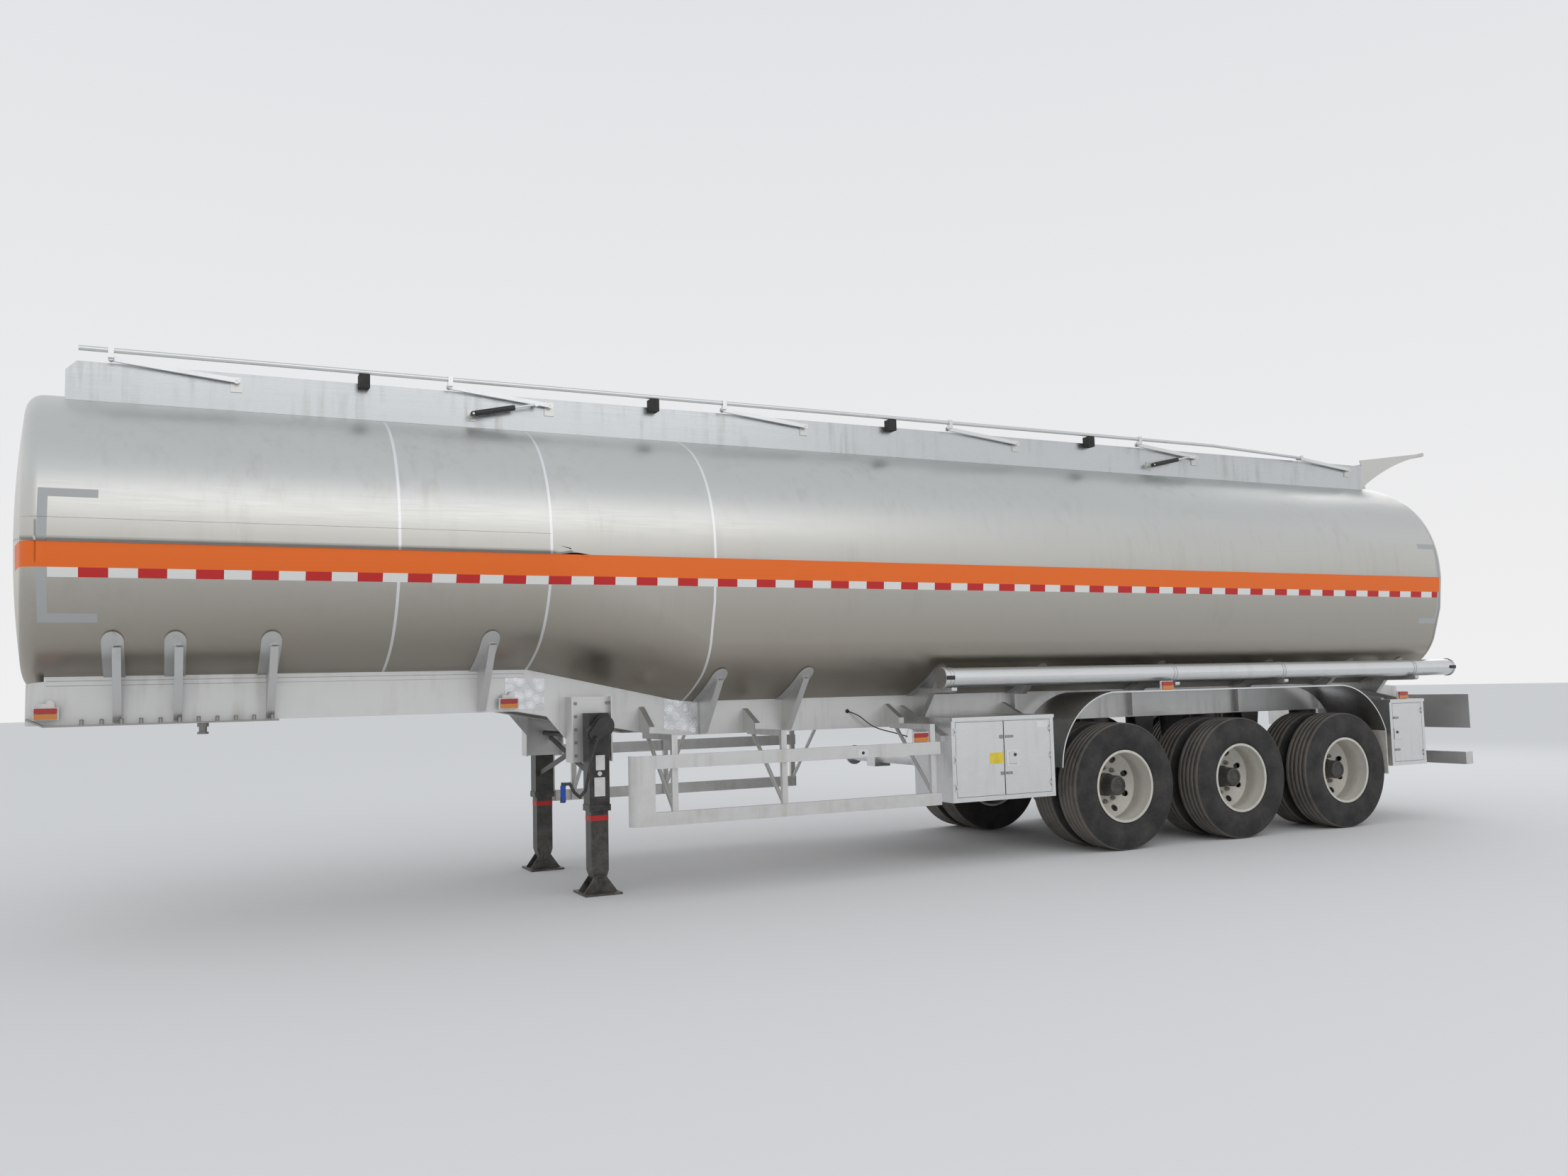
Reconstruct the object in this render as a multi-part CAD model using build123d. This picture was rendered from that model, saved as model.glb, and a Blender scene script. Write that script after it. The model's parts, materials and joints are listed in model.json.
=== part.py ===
from build123d import *
from math import atan2, cos, hypot, pi, sin, sqrt
import os

# A tri-axle tanker semi-trailer, parked on its landing legs.
# Millimetres. +X points forward, +Y to the trailer's left, +Z up.
# The origin is on the ground, under the middle of the whole trailer.

# Overall sizes
overall_length = 12870.0
overall_width = 2500.0
front_end = overall_length / 2
rear_end = -overall_length / 2

# Tank: a barrel of box-oval section between two dished heads.
# Each half of the section is a crown arc, a corner arc and a side arc.
tank_axis_z = 2330.0
tank_half_width = overall_width / 2
head_depth = 203.0
head_crown_radius = 6000.0
head_knuckle = 90.0
rear_overhang = 840.0
front_seam = front_end - head_depth
rear_seam = rear_end + rear_overhang
belly_front = front_seam - 2947.0
belly_length = 1180.0
belly_rear = belly_front - belly_length
# Columns: height from the axis, crown radius, side radius, corner radius
upper_half = (1063.0, 1600.0, 1600.0, 900.0)
front_lower_half = (837.0, 1800.0, 1600.0, 800.0)
rear_lower_half = (1094.5, 1800.0, 1600.0, 500.0)
tank_top_z = tank_axis_z + upper_half[0]

# Walkway box on the tank's crown
coaming_face_y = 560.0
coaming_plate = 8.0
coaming_inner_y = coaming_face_y - coaming_plate
coaming_top_z = 3540.0
coaming_lip = 30.0
coaming_nose_cut = 60.0
coaming_tail = 220.0
pivot_foot = 8.0
coaming_front = front_seam - 77.0
coaming_rear = rear_seam + 140.0
deck_top_z = 3470.0
plank_thickness = 30.0
plank_inner_y = 305.0
plank_outer_y = 530.0
bearer_thickness = 8.0

# Manholes along the crown
manhole_radius = 250.0
manhole_wall = 15.0
manhole_height = 85.0
manhole_x = (front_seam - 2200.0, front_seam - 5900.0, rear_seam + 2300.0)
lid_radius = 282.0
lid_thickness = 24.0
lid_gap = 0.3
lid_pin_radius = 8.0
lid_pin_reach = 312.0

# Folding handrail along the left edge of the walkway
arm_count = 6
arm_rear_x = rear_seam + 375.0
arm_front_x = front_seam - 1047.0
arm_pitch = (arm_front_x - arm_rear_x) / (arm_count - 1)
arm_pivot_z = 3485.0
arm_reach = 720.0
arm_rise = 75.0
arm_height = 30.0
arm_thickness = 20.0
arm_centre_y = coaming_face_y + 32.0
arm_eye_radius = 20.0
pivot_radius = 8.0
running_gap = 0.05
open_gap = 0.5
seat_gap = 0.3
rail_radius = 16.0
rail_centre_y = coaming_face_y + 65.0
rail_z = 3606.0
rail_front = coaming_front - 73.0
rail_rear_tail = 184.0
clamp_half = 16.0
clamp_wall = 5.0
rest_width = 70.0
rest_lean = 1150.0

# Gas struts that lift the handrail
strut_arms = (1, 4)
strut_radius = 20.0
strut_rod_radius = 9.0
strut_centre_y = coaming_face_y + 67.0
strut_anchor_ahead = 561.0
strut_anchor_drop = 108.0
strut_pin_ahead = 111.0
strut_pin_drop = 7.0
strut_barrel_length = 300.0

# Main beams under the tank
beam_face_y = 550.0
beam_web = 8.0
beam_flange = 10.0
beam_flange_width = 108.0
beam_inner_y = beam_face_y - beam_web
beam_front_z = 1285.0
beam_nose_height = 250.0
beam_rear_z = 1070.0
beam_front = front_seam + 93.0
beam_rear = rear_seam - 185.0
slope_front = belly_front + 60.0
slope_rear = belly_rear + 140.0

# Saddles that carry the tank on the beams
saddle_plate = 8.0
saddle_flange_width = 48.0
saddle_flange = 8.0
saddle_pad = 8.0
saddle_pad_width = 120.0
saddle_reach_y = 985.0
saddle_pad_end_y = 1010.0
saddle_step = 85.0
saddle_step_in = 14.0
saddle_foot = 55.0
front_saddles = [front_seam - d for d in (377.0, 711.0, 1247.0, 2606.0)]
open_saddles = [rear_seam + d for d in (7564.0, 6860.0, 5667.0, 329.0)]
wheel_saddles = [rear_seam + d for d in (4676.0, 3382.0, 2085.0, 1018.0)]

# Coupler plate and kingpin
coupler_plate_thickness = 10.0
coupler_half_width = 650.0
coupler_front = front_seam + 83.0
coupler_rear = front_seam - 1317.0
coupler_nose = 90.0
stud_count = 11
stud_pitch = 106.8
stud_front = 201.0
stud_out = 86.0
kingpin_x = front_seam - 887.0
kingpin_collar_radius = 36.5
kingpin_neck_radius = 25.4
kingpin_head_radius = 35.75
kingpin_collar_drop = 35.0
kingpin_neck_drop = 70.0
kingpin_drop = 84.0

# Landing legs, bolted to plates that stand off the beams
leg_x = kingpin_x - 2515.0
leg_y = 720.0
leg_side = 146.0
leg_bottom_z = 575.0
leg_top_z = 1260.0
leg_collar = 6.0
leg_collar_height = 45.0
ram_side = 126.0
ram_taper_z = 163.0
foot_length = 266.0
foot_width = 300.0
foot_plate = 14.0
foot_pin_z = 100.0
foot_cheek = 10.0
leg_mount_plate = 12.0
leg_mount_flange = 10.0
leg_mount_low_z = 913.0
leg_mount_top_z = 1376.0
leg_mount_front = leg_x + 170.0
leg_mount_rear = leg_x - 130.0
leg_mount_face_y = 700.0
leg_gusset_length = 140.0
brace_width = 40.0
brace_thickness = 10.0
brace_low_z = 745.0
brace_high_z = 1040.0
gear_height_z = 1150.0
gear_depth = 62.0
gear_big_radius = 78.0
gear_small_radius = 56.0
gear_shift = 46.0
shaft_z = 1090.0
shaft_radius = 20.0
crank_radius = 11.0
crank_swell = 0.4
crank_y = leg_y + leg_side / 2 + gear_depth + 62.0
grip_radius = 17.0

# Axles and twin wheels
tyre_radius = 525.0
axle_z = tyre_radius
axle_spacing = 1310.0
middle_axle_x = rear_seam + 2730.0
axle_xs = [middle_axle_x + axle_spacing, middle_axle_x, middle_axle_x - axle_spacing]
axle_tube_radius = 65.0
axle_tube_end_y = 575.0
spindle_radius = 45.0
spindle_end_y = 1105.0
twin_plane_y = 930.0
twin_offset = 165.0
tyre_half_width = 135.0
rim_seat_radius = 285.75
rim_flange_radius = 298.5
rim_wall = 10.0
rim_half_width = 117.0
rim_flange_width = 12.0
disc_thickness = 11.0
disc_flat_radius = 175.0
disc_lean = 60.0
hub_radius = 105.0
hub_flange_radius = 168.0
hub_flange_thickness = 16.0
hub_inner_y = 740.0
cap_radius = 82.0
cap_end_y = 1125.0
drum_radius = 205.0
drum_wall = 14.0
drum_inner_y = 590.0
hand_holes = 8
hand_hole_radius = 27.0
hand_hole_circle = 218.0

# Mudguards over the three wheels on each side
mudguard_top_z = 1306.0
mudguard_sheet = 6.0
mudguard_inner_y = 650.0
mudguard_outer_y = 1235.0
mudguard_edge_width = 50.0
mudguard_edge_half = 5.0
mudguard_edge_top_z = mudguard_top_z - mudguard_sheet / 2 + mudguard_edge_half
mudguard_front = axle_xs[0] + 660.0
mudguard_rear = axle_xs[2] - 537.0
mudguard_front_z = 710.0
mudguard_rear_z = 870.0
flap_thickness = 12.0
flap_bottom_z = 466.0
flap_hang = 1.5

# Tool box with two doors and rear box with one, both on the left side
box_wall = 4.0
box_border = 36.0
box_roof_out = 12.0
box_roof_lip = 26.0
door_thickness = 20.0
door_gap = 3.0
door_split = 8.0
door_panel_margin = 40.0
hinge_pin_radius = 4.0
hinge_radius = 7.0
hinge_out = 8.0
hinge_leaf = 16.0
hinge_half_height = 28.0
hinge_knuckle_half = 10.0
box_arm_width = 38.0
toolbox_front = axle_xs[0] + 1715.0
toolbox_rear = axle_xs[0] + 737.0
toolbox_face_y = 1230.0
toolbox_depth = 540.0
toolbox_bottom_z = 493.0
toolbox_top_z = 1143.0
rear_box_front = axle_xs[2] - 650.0
rear_box_rear = axle_xs[2] - 1130.0
rear_box_face_y = 1200.0
rear_box_depth = 420.0
rear_box_bottom_z = 530.0
rear_box_top_z = 1153.0

# Side guards
guard_face_y = 1245.0
guard_tube = 30.0
guard_nose = leg_x - 80.0
guard_nose_length = 170.0
guard_end = toolbox_front + 115.0
guard_top_z = 967.0
guard_bottom_z = 490.0
guard_rail_height = 92.0
guard_nose_radius = 70.0
guard_nose_sheet = 8.0
guard_post_width = 43.0
guard_post_depth = 32.0
guard_arm_top_z = 1102.0
guard_arm_height = 40.0
guard_arm_inner_y = 620.0
guard_bracket_height = 180.0
guard_bracket_out_y = 770.0
guard_bracket_plate = 7.0
guard_brace_radius = 15.0
guard_posts = (guard_nose - 325.0, guard_nose - 1165.0, guard_end + 46.0)

# Hose tubes along both sides
tube_radius = 77.5
tube_y = 1120.0
tube_z = 1452.0
tube_front = toolbox_front - 5.0
tube_rear = rear_seam - 210.0
tube_cap = 20.0
tube_cap_proud = 8.0
tube_cap_bevel = 6.0
tube_shelf_width = 50.0
tube_shelf_height = 38.0
tube_shelf_inner_y = 730.0
tube_shelf_end_y = 1205.0
tube_strap = 4.0
tube_strap_width = 7.0
tube_shelf_saddles = (open_saddles[2], wheel_saddles[1], wheel_saddles[2], open_saddles[3])

# Rear bumper, lamp panel, ladder and grab frame
panel_x = rear_seam - 330.0
panel_thickness = 40.0
panel_bottom_z = 850.0
panel_top_z = 1180.0
panel_plate = 8.0
panel_housing_low_z = 905.0
panel_housing_top_z = 1110.0
panel_housing_inner_y = 560.0
panel_housing_outer_y = 1225.0
bumper_x = rear_seam - 270.0
bumper_half = 50.0
bumper_bottom_z = 500.0
bumper_top_z = 620.0
bumper_half_width = overall_width / 2
ladder_x = rear_seam - 335.0
ladder_half_width = 200.0
ladder_tube = 16.0
ladder_pitch = 280.0
grab_tube = 21.0
grab_top_z = 3720.0
grab_low_z = 3580.0

# Side lamps, and the round lamps of the rear panel
lamp_half_length = 70.0
lamp_half_height = 39.0
lamp_back = 12.0
lens_half_length = 60.0
lens_half_height = 32.0
lens_depth = 14.0
tail_lamp_z = 1008.0
tail_lamp_radius = 62.0
tail_lamp_depth = 28.0
tail_lamp_y = (760.0, 900.0, 1040.0)


def block(x0, x1, y0, y1, z0, z1):
    """A box between two corners."""
    return Pos((x0 + x1) / 2, (y0 + y1) / 2, (z0 + z1) / 2) * Box(abs(x1 - x0), abs(y1 - y0), abs(z1 - z0))


def prism_y(points, y0, y1):
    """An outline of (x, z) points, pulled along Y from y0 to y1."""
    outline = Polyline(*[(x, y0, z) for x, z in points], close=True)
    return extrude(make_face(outline), y1 - y0, dir=(0, 1, 0))


def prism_x(points, x0, x1):
    """An outline of (y, z) points, pulled along X from x0 to x1."""
    outline = Polyline(*[(x0, y, z) for y, z in points], close=True)
    return extrude(make_face(outline), x1 - x0, dir=(1, 0, 0))


def rod(start, end, radius):
    """A round bar from one point to another."""
    run = Vector(*end) - Vector(*start)
    plane = Plane(origin=start, z_dir=run.normalized())
    return extrude(plane * Circle(radius), run.length)


def turned(points, x, z):
    """A solid of revolution about the Y line through (x, z), from (y, radius) points."""
    outline = Polyline(*[(x, y, z + r) for y, r in points], close=True)
    return revolve(make_face(outline), Axis((x, 0, z), (0, 1, 0)))


def joined(pieces):
    """One shape from pieces that touch."""
    whole = pieces[0]
    for piece in pieces[1:]:
        whole = whole + piece
    return whole


def mirrored(shape):
    """The same shape on the trailer's other side."""
    return mirror(shape, about=Plane.XZ)


def both_sides(pieces):
    """Pieces of the left side and their mirror images on the right."""
    return list(pieces) + [mirrored(p) for p in pieces]


def save(name, pieces):
    """Write one named piece, or several that share a node."""
    pieces = pieces if isinstance(pieces, list) else [pieces]
    solids = [s for p in pieces for s in p.solids()]
    shape = solids[0] if len(solids) == 1 else Compound(children=solids)
    export_step(shape, os.path.join("parts", name + ".step"))


def corner_centre(half):
    """Centre of the corner arc of one half section, from the axis: (y, z)."""
    height, crown, side, corner = half
    crown_z = height - crown
    side_y = tank_half_width - side
    to_crown = crown - corner
    to_side = side - corner
    across = hypot(side_y, crown_z)
    along = (to_crown ** 2 - to_side ** 2 + across ** 2) / (2 * across)
    off = sqrt(to_crown ** 2 - along ** 2)
    unit_y, unit_z = side_y / across, -crown_z / across
    return along * unit_y + off * unit_z, crown_z + along * unit_z - off * unit_y


def quadrant(half, grow):
    """Points of one quarter section from crown to side, as (y, z) from the axis."""
    height, crown, side, corner = half
    cy, cz = corner_centre(half)
    crown_z = height - crown
    side_y = tank_half_width - side
    top_dir = atan2(cz - crown_z, cy)
    side_dir = atan2(cz, cy - side_y)
    corner_r = corner + grow
    middle = (top_dir + side_dir) / 2
    low = side_dir / 2

    def on(y, z, r, angle):
        return y + r * cos(angle), z + r * sin(angle)

    return {
        "top": (0, height + grow),
        "top_end": on(cy, cz, corner_r, top_dir),
        "corner": on(cy, cz, corner_r, middle),
        "side_start": on(cy, cz, corner_r, side_dir),
        "side": on(side_y, 0, side + grow, low),
        "side_end": (tank_half_width + grow, 0),
    }


def section(x, lower, grow=0.0):
    """The tank's cross-section at x, made of ten arcs, grown outwards all round."""
    up = quadrant(upper_half, grow)
    down = quadrant(lower, grow)

    def at(point, y_sign, z_sign):
        return (x, y_sign * point[0], tank_axis_z + z_sign * point[1])

    arcs = [ThreePointArc(at(up["top_end"], -1, 1), at(up["top"], 1, 1), at(up["top_end"], 1, 1))]
    for q, z_sign, names in ((up, 1, ("top_end", "corner", "side_start", "side", "side_end")),
                             (down, -1, ("side_end", "side", "side_start", "corner", "top_end"))):
        a, b, c, d, e = [at(q[n], 1, z_sign) for n in names]
        arcs += [ThreePointArc(a, b, c), ThreePointArc(c, d, e)]
    arcs.append(ThreePointArc(at(down["top_end"], 1, -1), at(down["top"], 1, -1), at(down["top_end"], -1, -1)))
    for q, z_sign, names in ((down, -1, ("top_end", "corner", "side_start", "side", "side_end")),
                             (up, 1, ("side_end", "side", "side_start", "corner", "top_end"))):
        a, b, c, d, e = [at(q[n], -1, z_sign) for n in names]
        arcs += [ThreePointArc(a, b, c), ThreePointArc(c, d, e)]
    return Face(Wire(arcs))


def barrel_part(front, rear, lower, grow=0.0):
    """A straight length of barrel."""
    return extrude(section(rear, lower, grow), front - rear, dir=(1, 0, 0))


def tank_barrel():
    """Front barrel, sloping belly and rear barrel as one welded shell."""
    slope = loft([section(belly_rear, rear_lower_half), section(belly_front, front_lower_half)], ruled=True)
    return joined([barrel_part(front_seam, belly_front, front_lower_half), slope,
                   barrel_part(belly_rear, rear_seam, rear_lower_half)])


def head(seam, lower, forward):
    """A dished head: a shallow dome with a rounded knuckle."""
    body = extrude(section(0, lower), head_depth, dir=(-1, 0, 0))
    middle_z = tank_axis_z + (upper_half[0] - lower[0]) / 2
    dome = body & Pos(head_crown_radius - head_depth, 0, middle_z) * Sphere(head_crown_radius)
    rim = [e for e in dome.edges() if e.center().X < -1.0 and e.geom_type != GeomType.LINE]
    dish = fillet(rim, head_knuckle)
    if forward > 0:
        dish = mirror(dish, about=Plane.YZ)
    return Pos(seam, 0, 0) * dish


def tank_surface_z(y, half, upper, grow=0.0):
    """Height of the tank's skin at y, above or below its axis."""
    q = quadrant(half, grow)
    height, crown, side, corner = half
    if y <= q["top_end"][0]:
        rise = height - crown + sqrt((crown + grow) ** 2 - y ** 2)
    else:
        cy, cz = corner_centre(half)
        rise = cz + sqrt((corner + grow) ** 2 - (y - cy) ** 2)
    return tank_axis_z + rise if upper else tank_axis_z - rise


def skin_solid(grow):
    """The tank grown outwards, for seating what lies on its skin."""
    slope = loft([section(belly_rear, rear_lower_half, grow), section(belly_front, front_lower_half, grow)],
                 ruled=True)
    return [barrel_part(front_seam, belly_front, front_lower_half, grow), slope,
            barrel_part(belly_rear, rear_seam, rear_lower_half, grow)]


def arm_pivots():
    """Lower and upper pivots of the handrail's arms, front arm first: (x, z), (x, z)."""
    xs = [arm_rear_x + i * arm_pitch for i in reversed(range(arm_count))]
    return [((x, arm_pivot_z), (x + arm_reach, arm_pivot_z + arm_rise)) for x in xs]


def eye(x, z, radius, y0, y1):
    """A round boss lying along Y."""
    return rod((x, y0, z), (x, y1, z), radius)


def coamings(tank):
    """The walkway's two side plates with their inward lips."""
    lip_y = coaming_inner_y - coaming_lip
    lip_z = coaming_top_z - coaming_plate
    outline = [(coaming_front, tank_axis_z), (coaming_front, coaming_top_z - coaming_nose_cut),
               (coaming_front - coaming_nose_cut, coaming_top_z), (coaming_rear, coaming_top_z),
               (coaming_rear, coaming_top_z - coaming_tail), (coaming_rear + coaming_tail, tank_axis_z)]
    side = prism_y(outline, coaming_inner_y, coaming_face_y)
    side += block(coaming_front - coaming_nose_cut - coaming_lip, coaming_rear + coaming_lip, lip_y,
                  coaming_inner_y, lip_z, coaming_top_z)
    return both_sides([side - tank])


def pivot_post(x, z, half_width, drop, rise, boss_radius, boss_end_y, pin_end_y):
    """A foot on the left side plate with a boss and a pin."""
    foot_y = coaming_face_y + pivot_foot
    foot = block(x - half_width, x + half_width, coaming_face_y, foot_y, z - drop, z + rise)
    return joined([foot, eye(x, z, boss_radius, foot_y, boss_end_y), eye(x, z, pivot_radius, boss_end_y, pin_end_y)])


def rail_pivots():
    """Feet with the pins that the handrail's arms and struts turn on."""
    arm_in, arm_out = arm_centre_y - arm_thickness / 2, arm_centre_y + arm_thickness / 2
    posts = [pivot_post(x, z, 35.0, 70.0, 35.0, 17.0, arm_in - 2.0, arm_out + 3.0) for (x, z), _ in arm_pivots()]
    barrel_in = strut_centre_y - strut_radius
    for index in strut_arms:
        x, z = strut_anchor(index)
        posts.append(pivot_post(x, z, 30.0, 40.0, 40.0, 16.0, barrel_in - 5.0, strut_centre_y + 16.0))
    return posts


def walkway_deck(tank):
    """Tread planks on cross bearers, with a closing plate at each end of the box."""
    pieces = []
    plank_z = deck_top_z - plank_thickness
    front, rear = coaming_front - 100.0, coaming_rear + 20.0
    planks = block(rear, front, plank_inner_y, plank_outer_y, plank_z, deck_top_z)
    for x in bearer_stations():
        cross = block(x - bearer_thickness / 2, x + bearer_thickness / 2, -coaming_inner_y, coaming_inner_y,
                      tank_axis_z, plank_z)
        pieces.append(cross - tank)
    deck = joined([planks, mirrored(planks)] + pieces)
    end_top = coaming_top_z - 70.0
    ends = [block(x, x + coaming_plate, -coaming_inner_y, coaming_inner_y, tank_axis_z, end_top) - tank
            for x in (coaming_front - 98.0, coaming_rear + 10.0)]
    return joined([deck] + ends)


def bearer_stations():
    """Cross bearers, one a metre, stepped clear of the manholes."""
    count = round((coaming_front - coaming_rear) / 1000.0)
    step = (coaming_front - coaming_rear - 240.0) / count
    stations = []
    for i in range(count + 1):
        x = coaming_rear + 120.0 + i * step
        for hole in manhole_x:
            reach = manhole_radius + 60.0
            if abs(x - hole) < reach:
                x = hole + reach if x >= hole else hole - reach
        stations.append(x)
    return stations


def lid_pin(x):
    """Hinge line of a manhole lid, at the rear of its collar: (x, z)."""
    return x - lid_pin_reach, tank_top_z + manhole_height + lid_gap + lid_thickness / 2


def manhole_collars(tank):
    """Necks on the crown with their hinge ears and pins."""
    pieces = []
    for x in manhole_x:
        ring = Pos(x, 0, 0) * extrude(Plane.XY.offset(tank_axis_z) * (Circle(manhole_radius)
                                      - Circle(manhole_radius - manhole_wall)),
                                      tank_top_z + manhole_height - tank_axis_z)
        pin_x, pin_z = lid_pin(x)
        ears = []
        for y in (-40.0, 30.0):
            ear = prism_y([(x - manhole_radius + 6.0, tank_top_z + 20.0), (pin_x - 12.0, pin_z - 14.0),
                           (pin_x - 12.0, pin_z + 12.0), (pin_x + 12.0, pin_z + 12.0),
                           (pin_x + 12.0, tank_top_z + manhole_height - 8.0),
                           (x - manhole_radius + 6.0, tank_top_z + manhole_height - 8.0)], y, y + 10.0)
            ears.append(ear)
        pin = eye(pin_x, pin_z, lid_pin_radius, -40.0, 40.0)
        inside = Pos(x, 0, tank_top_z) * Cylinder(manhole_radius - manhole_wall, 400.0)
        neck = joined([ring] + [e - inside for e in ears] + [pin])
        pieces.append(neck - tank)
    return pieces


def manhole_lid(x):
    """A round lid with a raised rim, clamp lugs and a rear hinge arm."""
    pin_x, pin_z = lid_pin(x)
    under = tank_top_z + manhole_height + lid_gap
    disc = Pos(x, 0, under + lid_thickness / 2) * Cylinder(lid_radius, lid_thickness)
    raised = Pos(x, 0, under + lid_thickness + 6.0) * (Cylinder(lid_radius - 60.0, 12.0))
    arm = block(pin_x, x - lid_radius + 40.0, -24.0, 24.0, under + 2.0, under + lid_thickness)
    knuckle = eye(pin_x, pin_z, 16.0, -24.0, 24.0)
    clearance = eye(pin_x, pin_z, lid_pin_radius + running_gap, -30.0, 30.0)
    lid = joined([disc, raised, arm, knuckle]) - clearance
    lugs = [Pos(x, 0, 0) * Rot(0, 0, a) * block(lid_radius - 20.0, lid_radius + 14.0, -18.0, 18.0, under + 4.0,
                                               under + lid_thickness) for a in (0, 60, 120, 240, 300)]
    return joined([lid] + lugs)


def rail_arm(lower, upper):
    """A flat arm with an eye at each end."""
    (x0, z0), (x1, z1) = lower, upper
    y0, y1 = arm_centre_y - arm_thickness / 2, arm_centre_y + arm_thickness / 2
    run = hypot(x1 - x0, z1 - z0)
    ux, uz = (x1 - x0) / run, (z1 - z0) / run
    half = arm_height / 2
    flat = prism_y([(x0 - uz * half, z0 + ux * half), (x1 - uz * half, z1 + ux * half),
                    (x1 + uz * half, z1 - ux * half), (x0 + uz * half, z0 - ux * half)], y0, y1)
    arm = flat + eye(x0, z0, arm_eye_radius, y0, y1) + eye(x1, z1, arm_eye_radius, y0, y1)
    arm = arm - eye(x0, z0, pivot_radius + running_gap, y0 - 1.0, y1 + 1.0)
    return arm - eye(x1, z1, pivot_radius + open_gap, y0 - 1.0, y1 + 1.0)


def handrail():
    """The long top rail with its bent rear end, and the clamps whose pins sit in the arms' eyes."""
    pivots = arm_pivots()
    tail_x = pivots[-2][0][0] - rail_rear_tail
    last_x, last_z = pivots[-1][1]
    knee, end = (tail_x, rail_centre_y, rail_z), (last_x, rail_centre_y, last_z)
    tube = joined([rod(knee, (rail_front, rail_centre_y, rail_z), rail_radius),
                   Pos(*knee) * Sphere(rail_radius), rod(knee, end, rail_radius)])
    clamps = []
    clamp_in = arm_centre_y + arm_thickness / 2 + 5.0
    pin_in = arm_centre_y - arm_thickness / 2 - 3.0
    for _, (x, z) in pivots[:-1]:
        lug = block(x - clamp_half, x + clamp_half, clamp_in, rail_centre_y + rail_radius + clamp_wall, z - 4.0,
                    rail_z + rail_radius + clamp_wall)
        body = joined([lug, eye(x, z, 17.0, clamp_in, rail_centre_y), eye(x, z, pivot_radius, pin_in, clamp_in)])
        clamps.append(body - rod((x - 2 * clamp_half, rail_centre_y, rail_z),
                                 (x + 2 * clamp_half, rail_centre_y, rail_z), rail_radius + running_gap))
    cup = joined([eye(last_x, last_z, rail_radius + clamp_wall, clamp_in, rail_centre_y + rail_radius + clamp_wall),
                  eye(last_x, last_z, pivot_radius, pin_in, clamp_in)])
    cup = cup - rod(knee, end, rail_radius + running_gap)
    return [tube] + clamps + [cup]


def rail_rests():
    """Rubber blocks that the folded rail lies on, each on a small steel foot."""
    pieces = []
    for (x, _), _ in arm_pivots()[:-2]:
        x = x - rest_lean + arm_reach / 2
        under = rail_z - rail_radius - 0.3
        pieces.append(block(x - rest_width / 2, x + rest_width / 2, coaming_face_y, rail_centre_y + 14.0,
                            coaming_top_z - 40.0, under))
    return pieces


def strut_anchor(index):
    """Fixed end of a strut: (x, z)."""
    (x, z), _ = arm_pivots()[index]
    return x + strut_anchor_ahead, z - strut_anchor_drop


def strut_pin(index):
    """Moving end of a strut, on its arm: (x, z)."""
    (x, z), _ = arm_pivots()[index]
    return x + strut_pin_ahead, z - strut_pin_drop


def strut_line(index):
    """Anchor, unit direction and length of a strut at rest."""
    (ax, az), (px, pz) = strut_anchor(index), strut_pin(index)
    run = hypot(px - ax, pz - az)
    return (ax, az), ((px - ax) / run, (pz - az) / run), run


def along_strut(index, distance):
    """A point on a strut's centre line."""
    (ax, az), (ux, uz), _ = strut_line(index)
    return ax + ux * distance, strut_centre_y, az + uz * distance


def strut_barrel(index):
    """Outer tube of a strut, with its anchor eye and an open mouth for the rod."""
    (ax, az), _, _ = strut_line(index)
    y0, y1 = strut_centre_y - 12.0, strut_centre_y + 12.0
    tube = rod(along_strut(index, 14.0), along_strut(index, strut_barrel_length), strut_radius)
    bore = rod(along_strut(index, 40.0), along_strut(index, strut_barrel_length + 1.0),
               strut_rod_radius + running_gap)
    body = tube + eye(ax, az, 18.0, y0, y1) - bore
    return body - eye(ax, az, pivot_radius + running_gap, y0 - 1.0, y1 + 1.0)


def strut_rod(index):
    """Sliding rod of a strut with its eye and a short pin towards the arm."""
    _, _, run = strut_line(index)
    px, pz = strut_pin(index)
    y0, y1 = strut_centre_y - 12.0, strut_centre_y + 12.0
    arm_face = arm_centre_y + arm_thickness / 2
    shaft = rod(along_strut(index, 45.0), along_strut(index, run), strut_rod_radius)
    return joined([shaft, eye(px, pz, 16.0, y0, y1), eye(px, pz, pivot_radius, arm_face + 1.0, y1)])


def grab_frame():
    """Curved gussets behind the side plates, rising to a cross tube over the ladder."""
    y0, y1 = coaming_inner_y, coaming_face_y
    end_x = rear_end + grab_tube
    top_start = (coaming_rear, coaming_top_z)
    knee = (coaming_rear + 20.0, grab_low_z + 20.0)
    low_start = (coaming_rear, coaming_top_z - 220.0)
    with_y = [(x, y0, z) for x, z in (low_start, top_start, knee, (end_x, grab_top_z + 12.0),
                                      (end_x, grab_top_z - 12.0))]
    bend = ThreePointArc(with_y[4], (coaming_rear - 430.0, y0, grab_low_z - 32.0), with_y[0])
    lines = [Line(with_y[i], with_y[i + 1]) for i in range(4)]
    plate = extrude(Face(Wire(lines + [bend])), y1 - y0, dir=(0, 1, 0))
    end_tube = rod((end_x, -y1, grab_top_z), (end_x, y1, grab_top_z), grab_tube)
    mid_z = cross_tube_z()
    mid_tube = rod((ladder_x, -y1, mid_z), (ladder_x, y1, mid_z), grab_tube)
    return joined([plate, mirrored(plate), end_tube, mid_tube])


def cross_tube_z():
    """Height of the cross tube that the ladder hangs from."""
    share = (coaming_rear - ladder_x) / (coaming_rear - rear_end)
    return grab_low_z + share * (grab_top_z - grab_low_z) - 12.0


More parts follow.
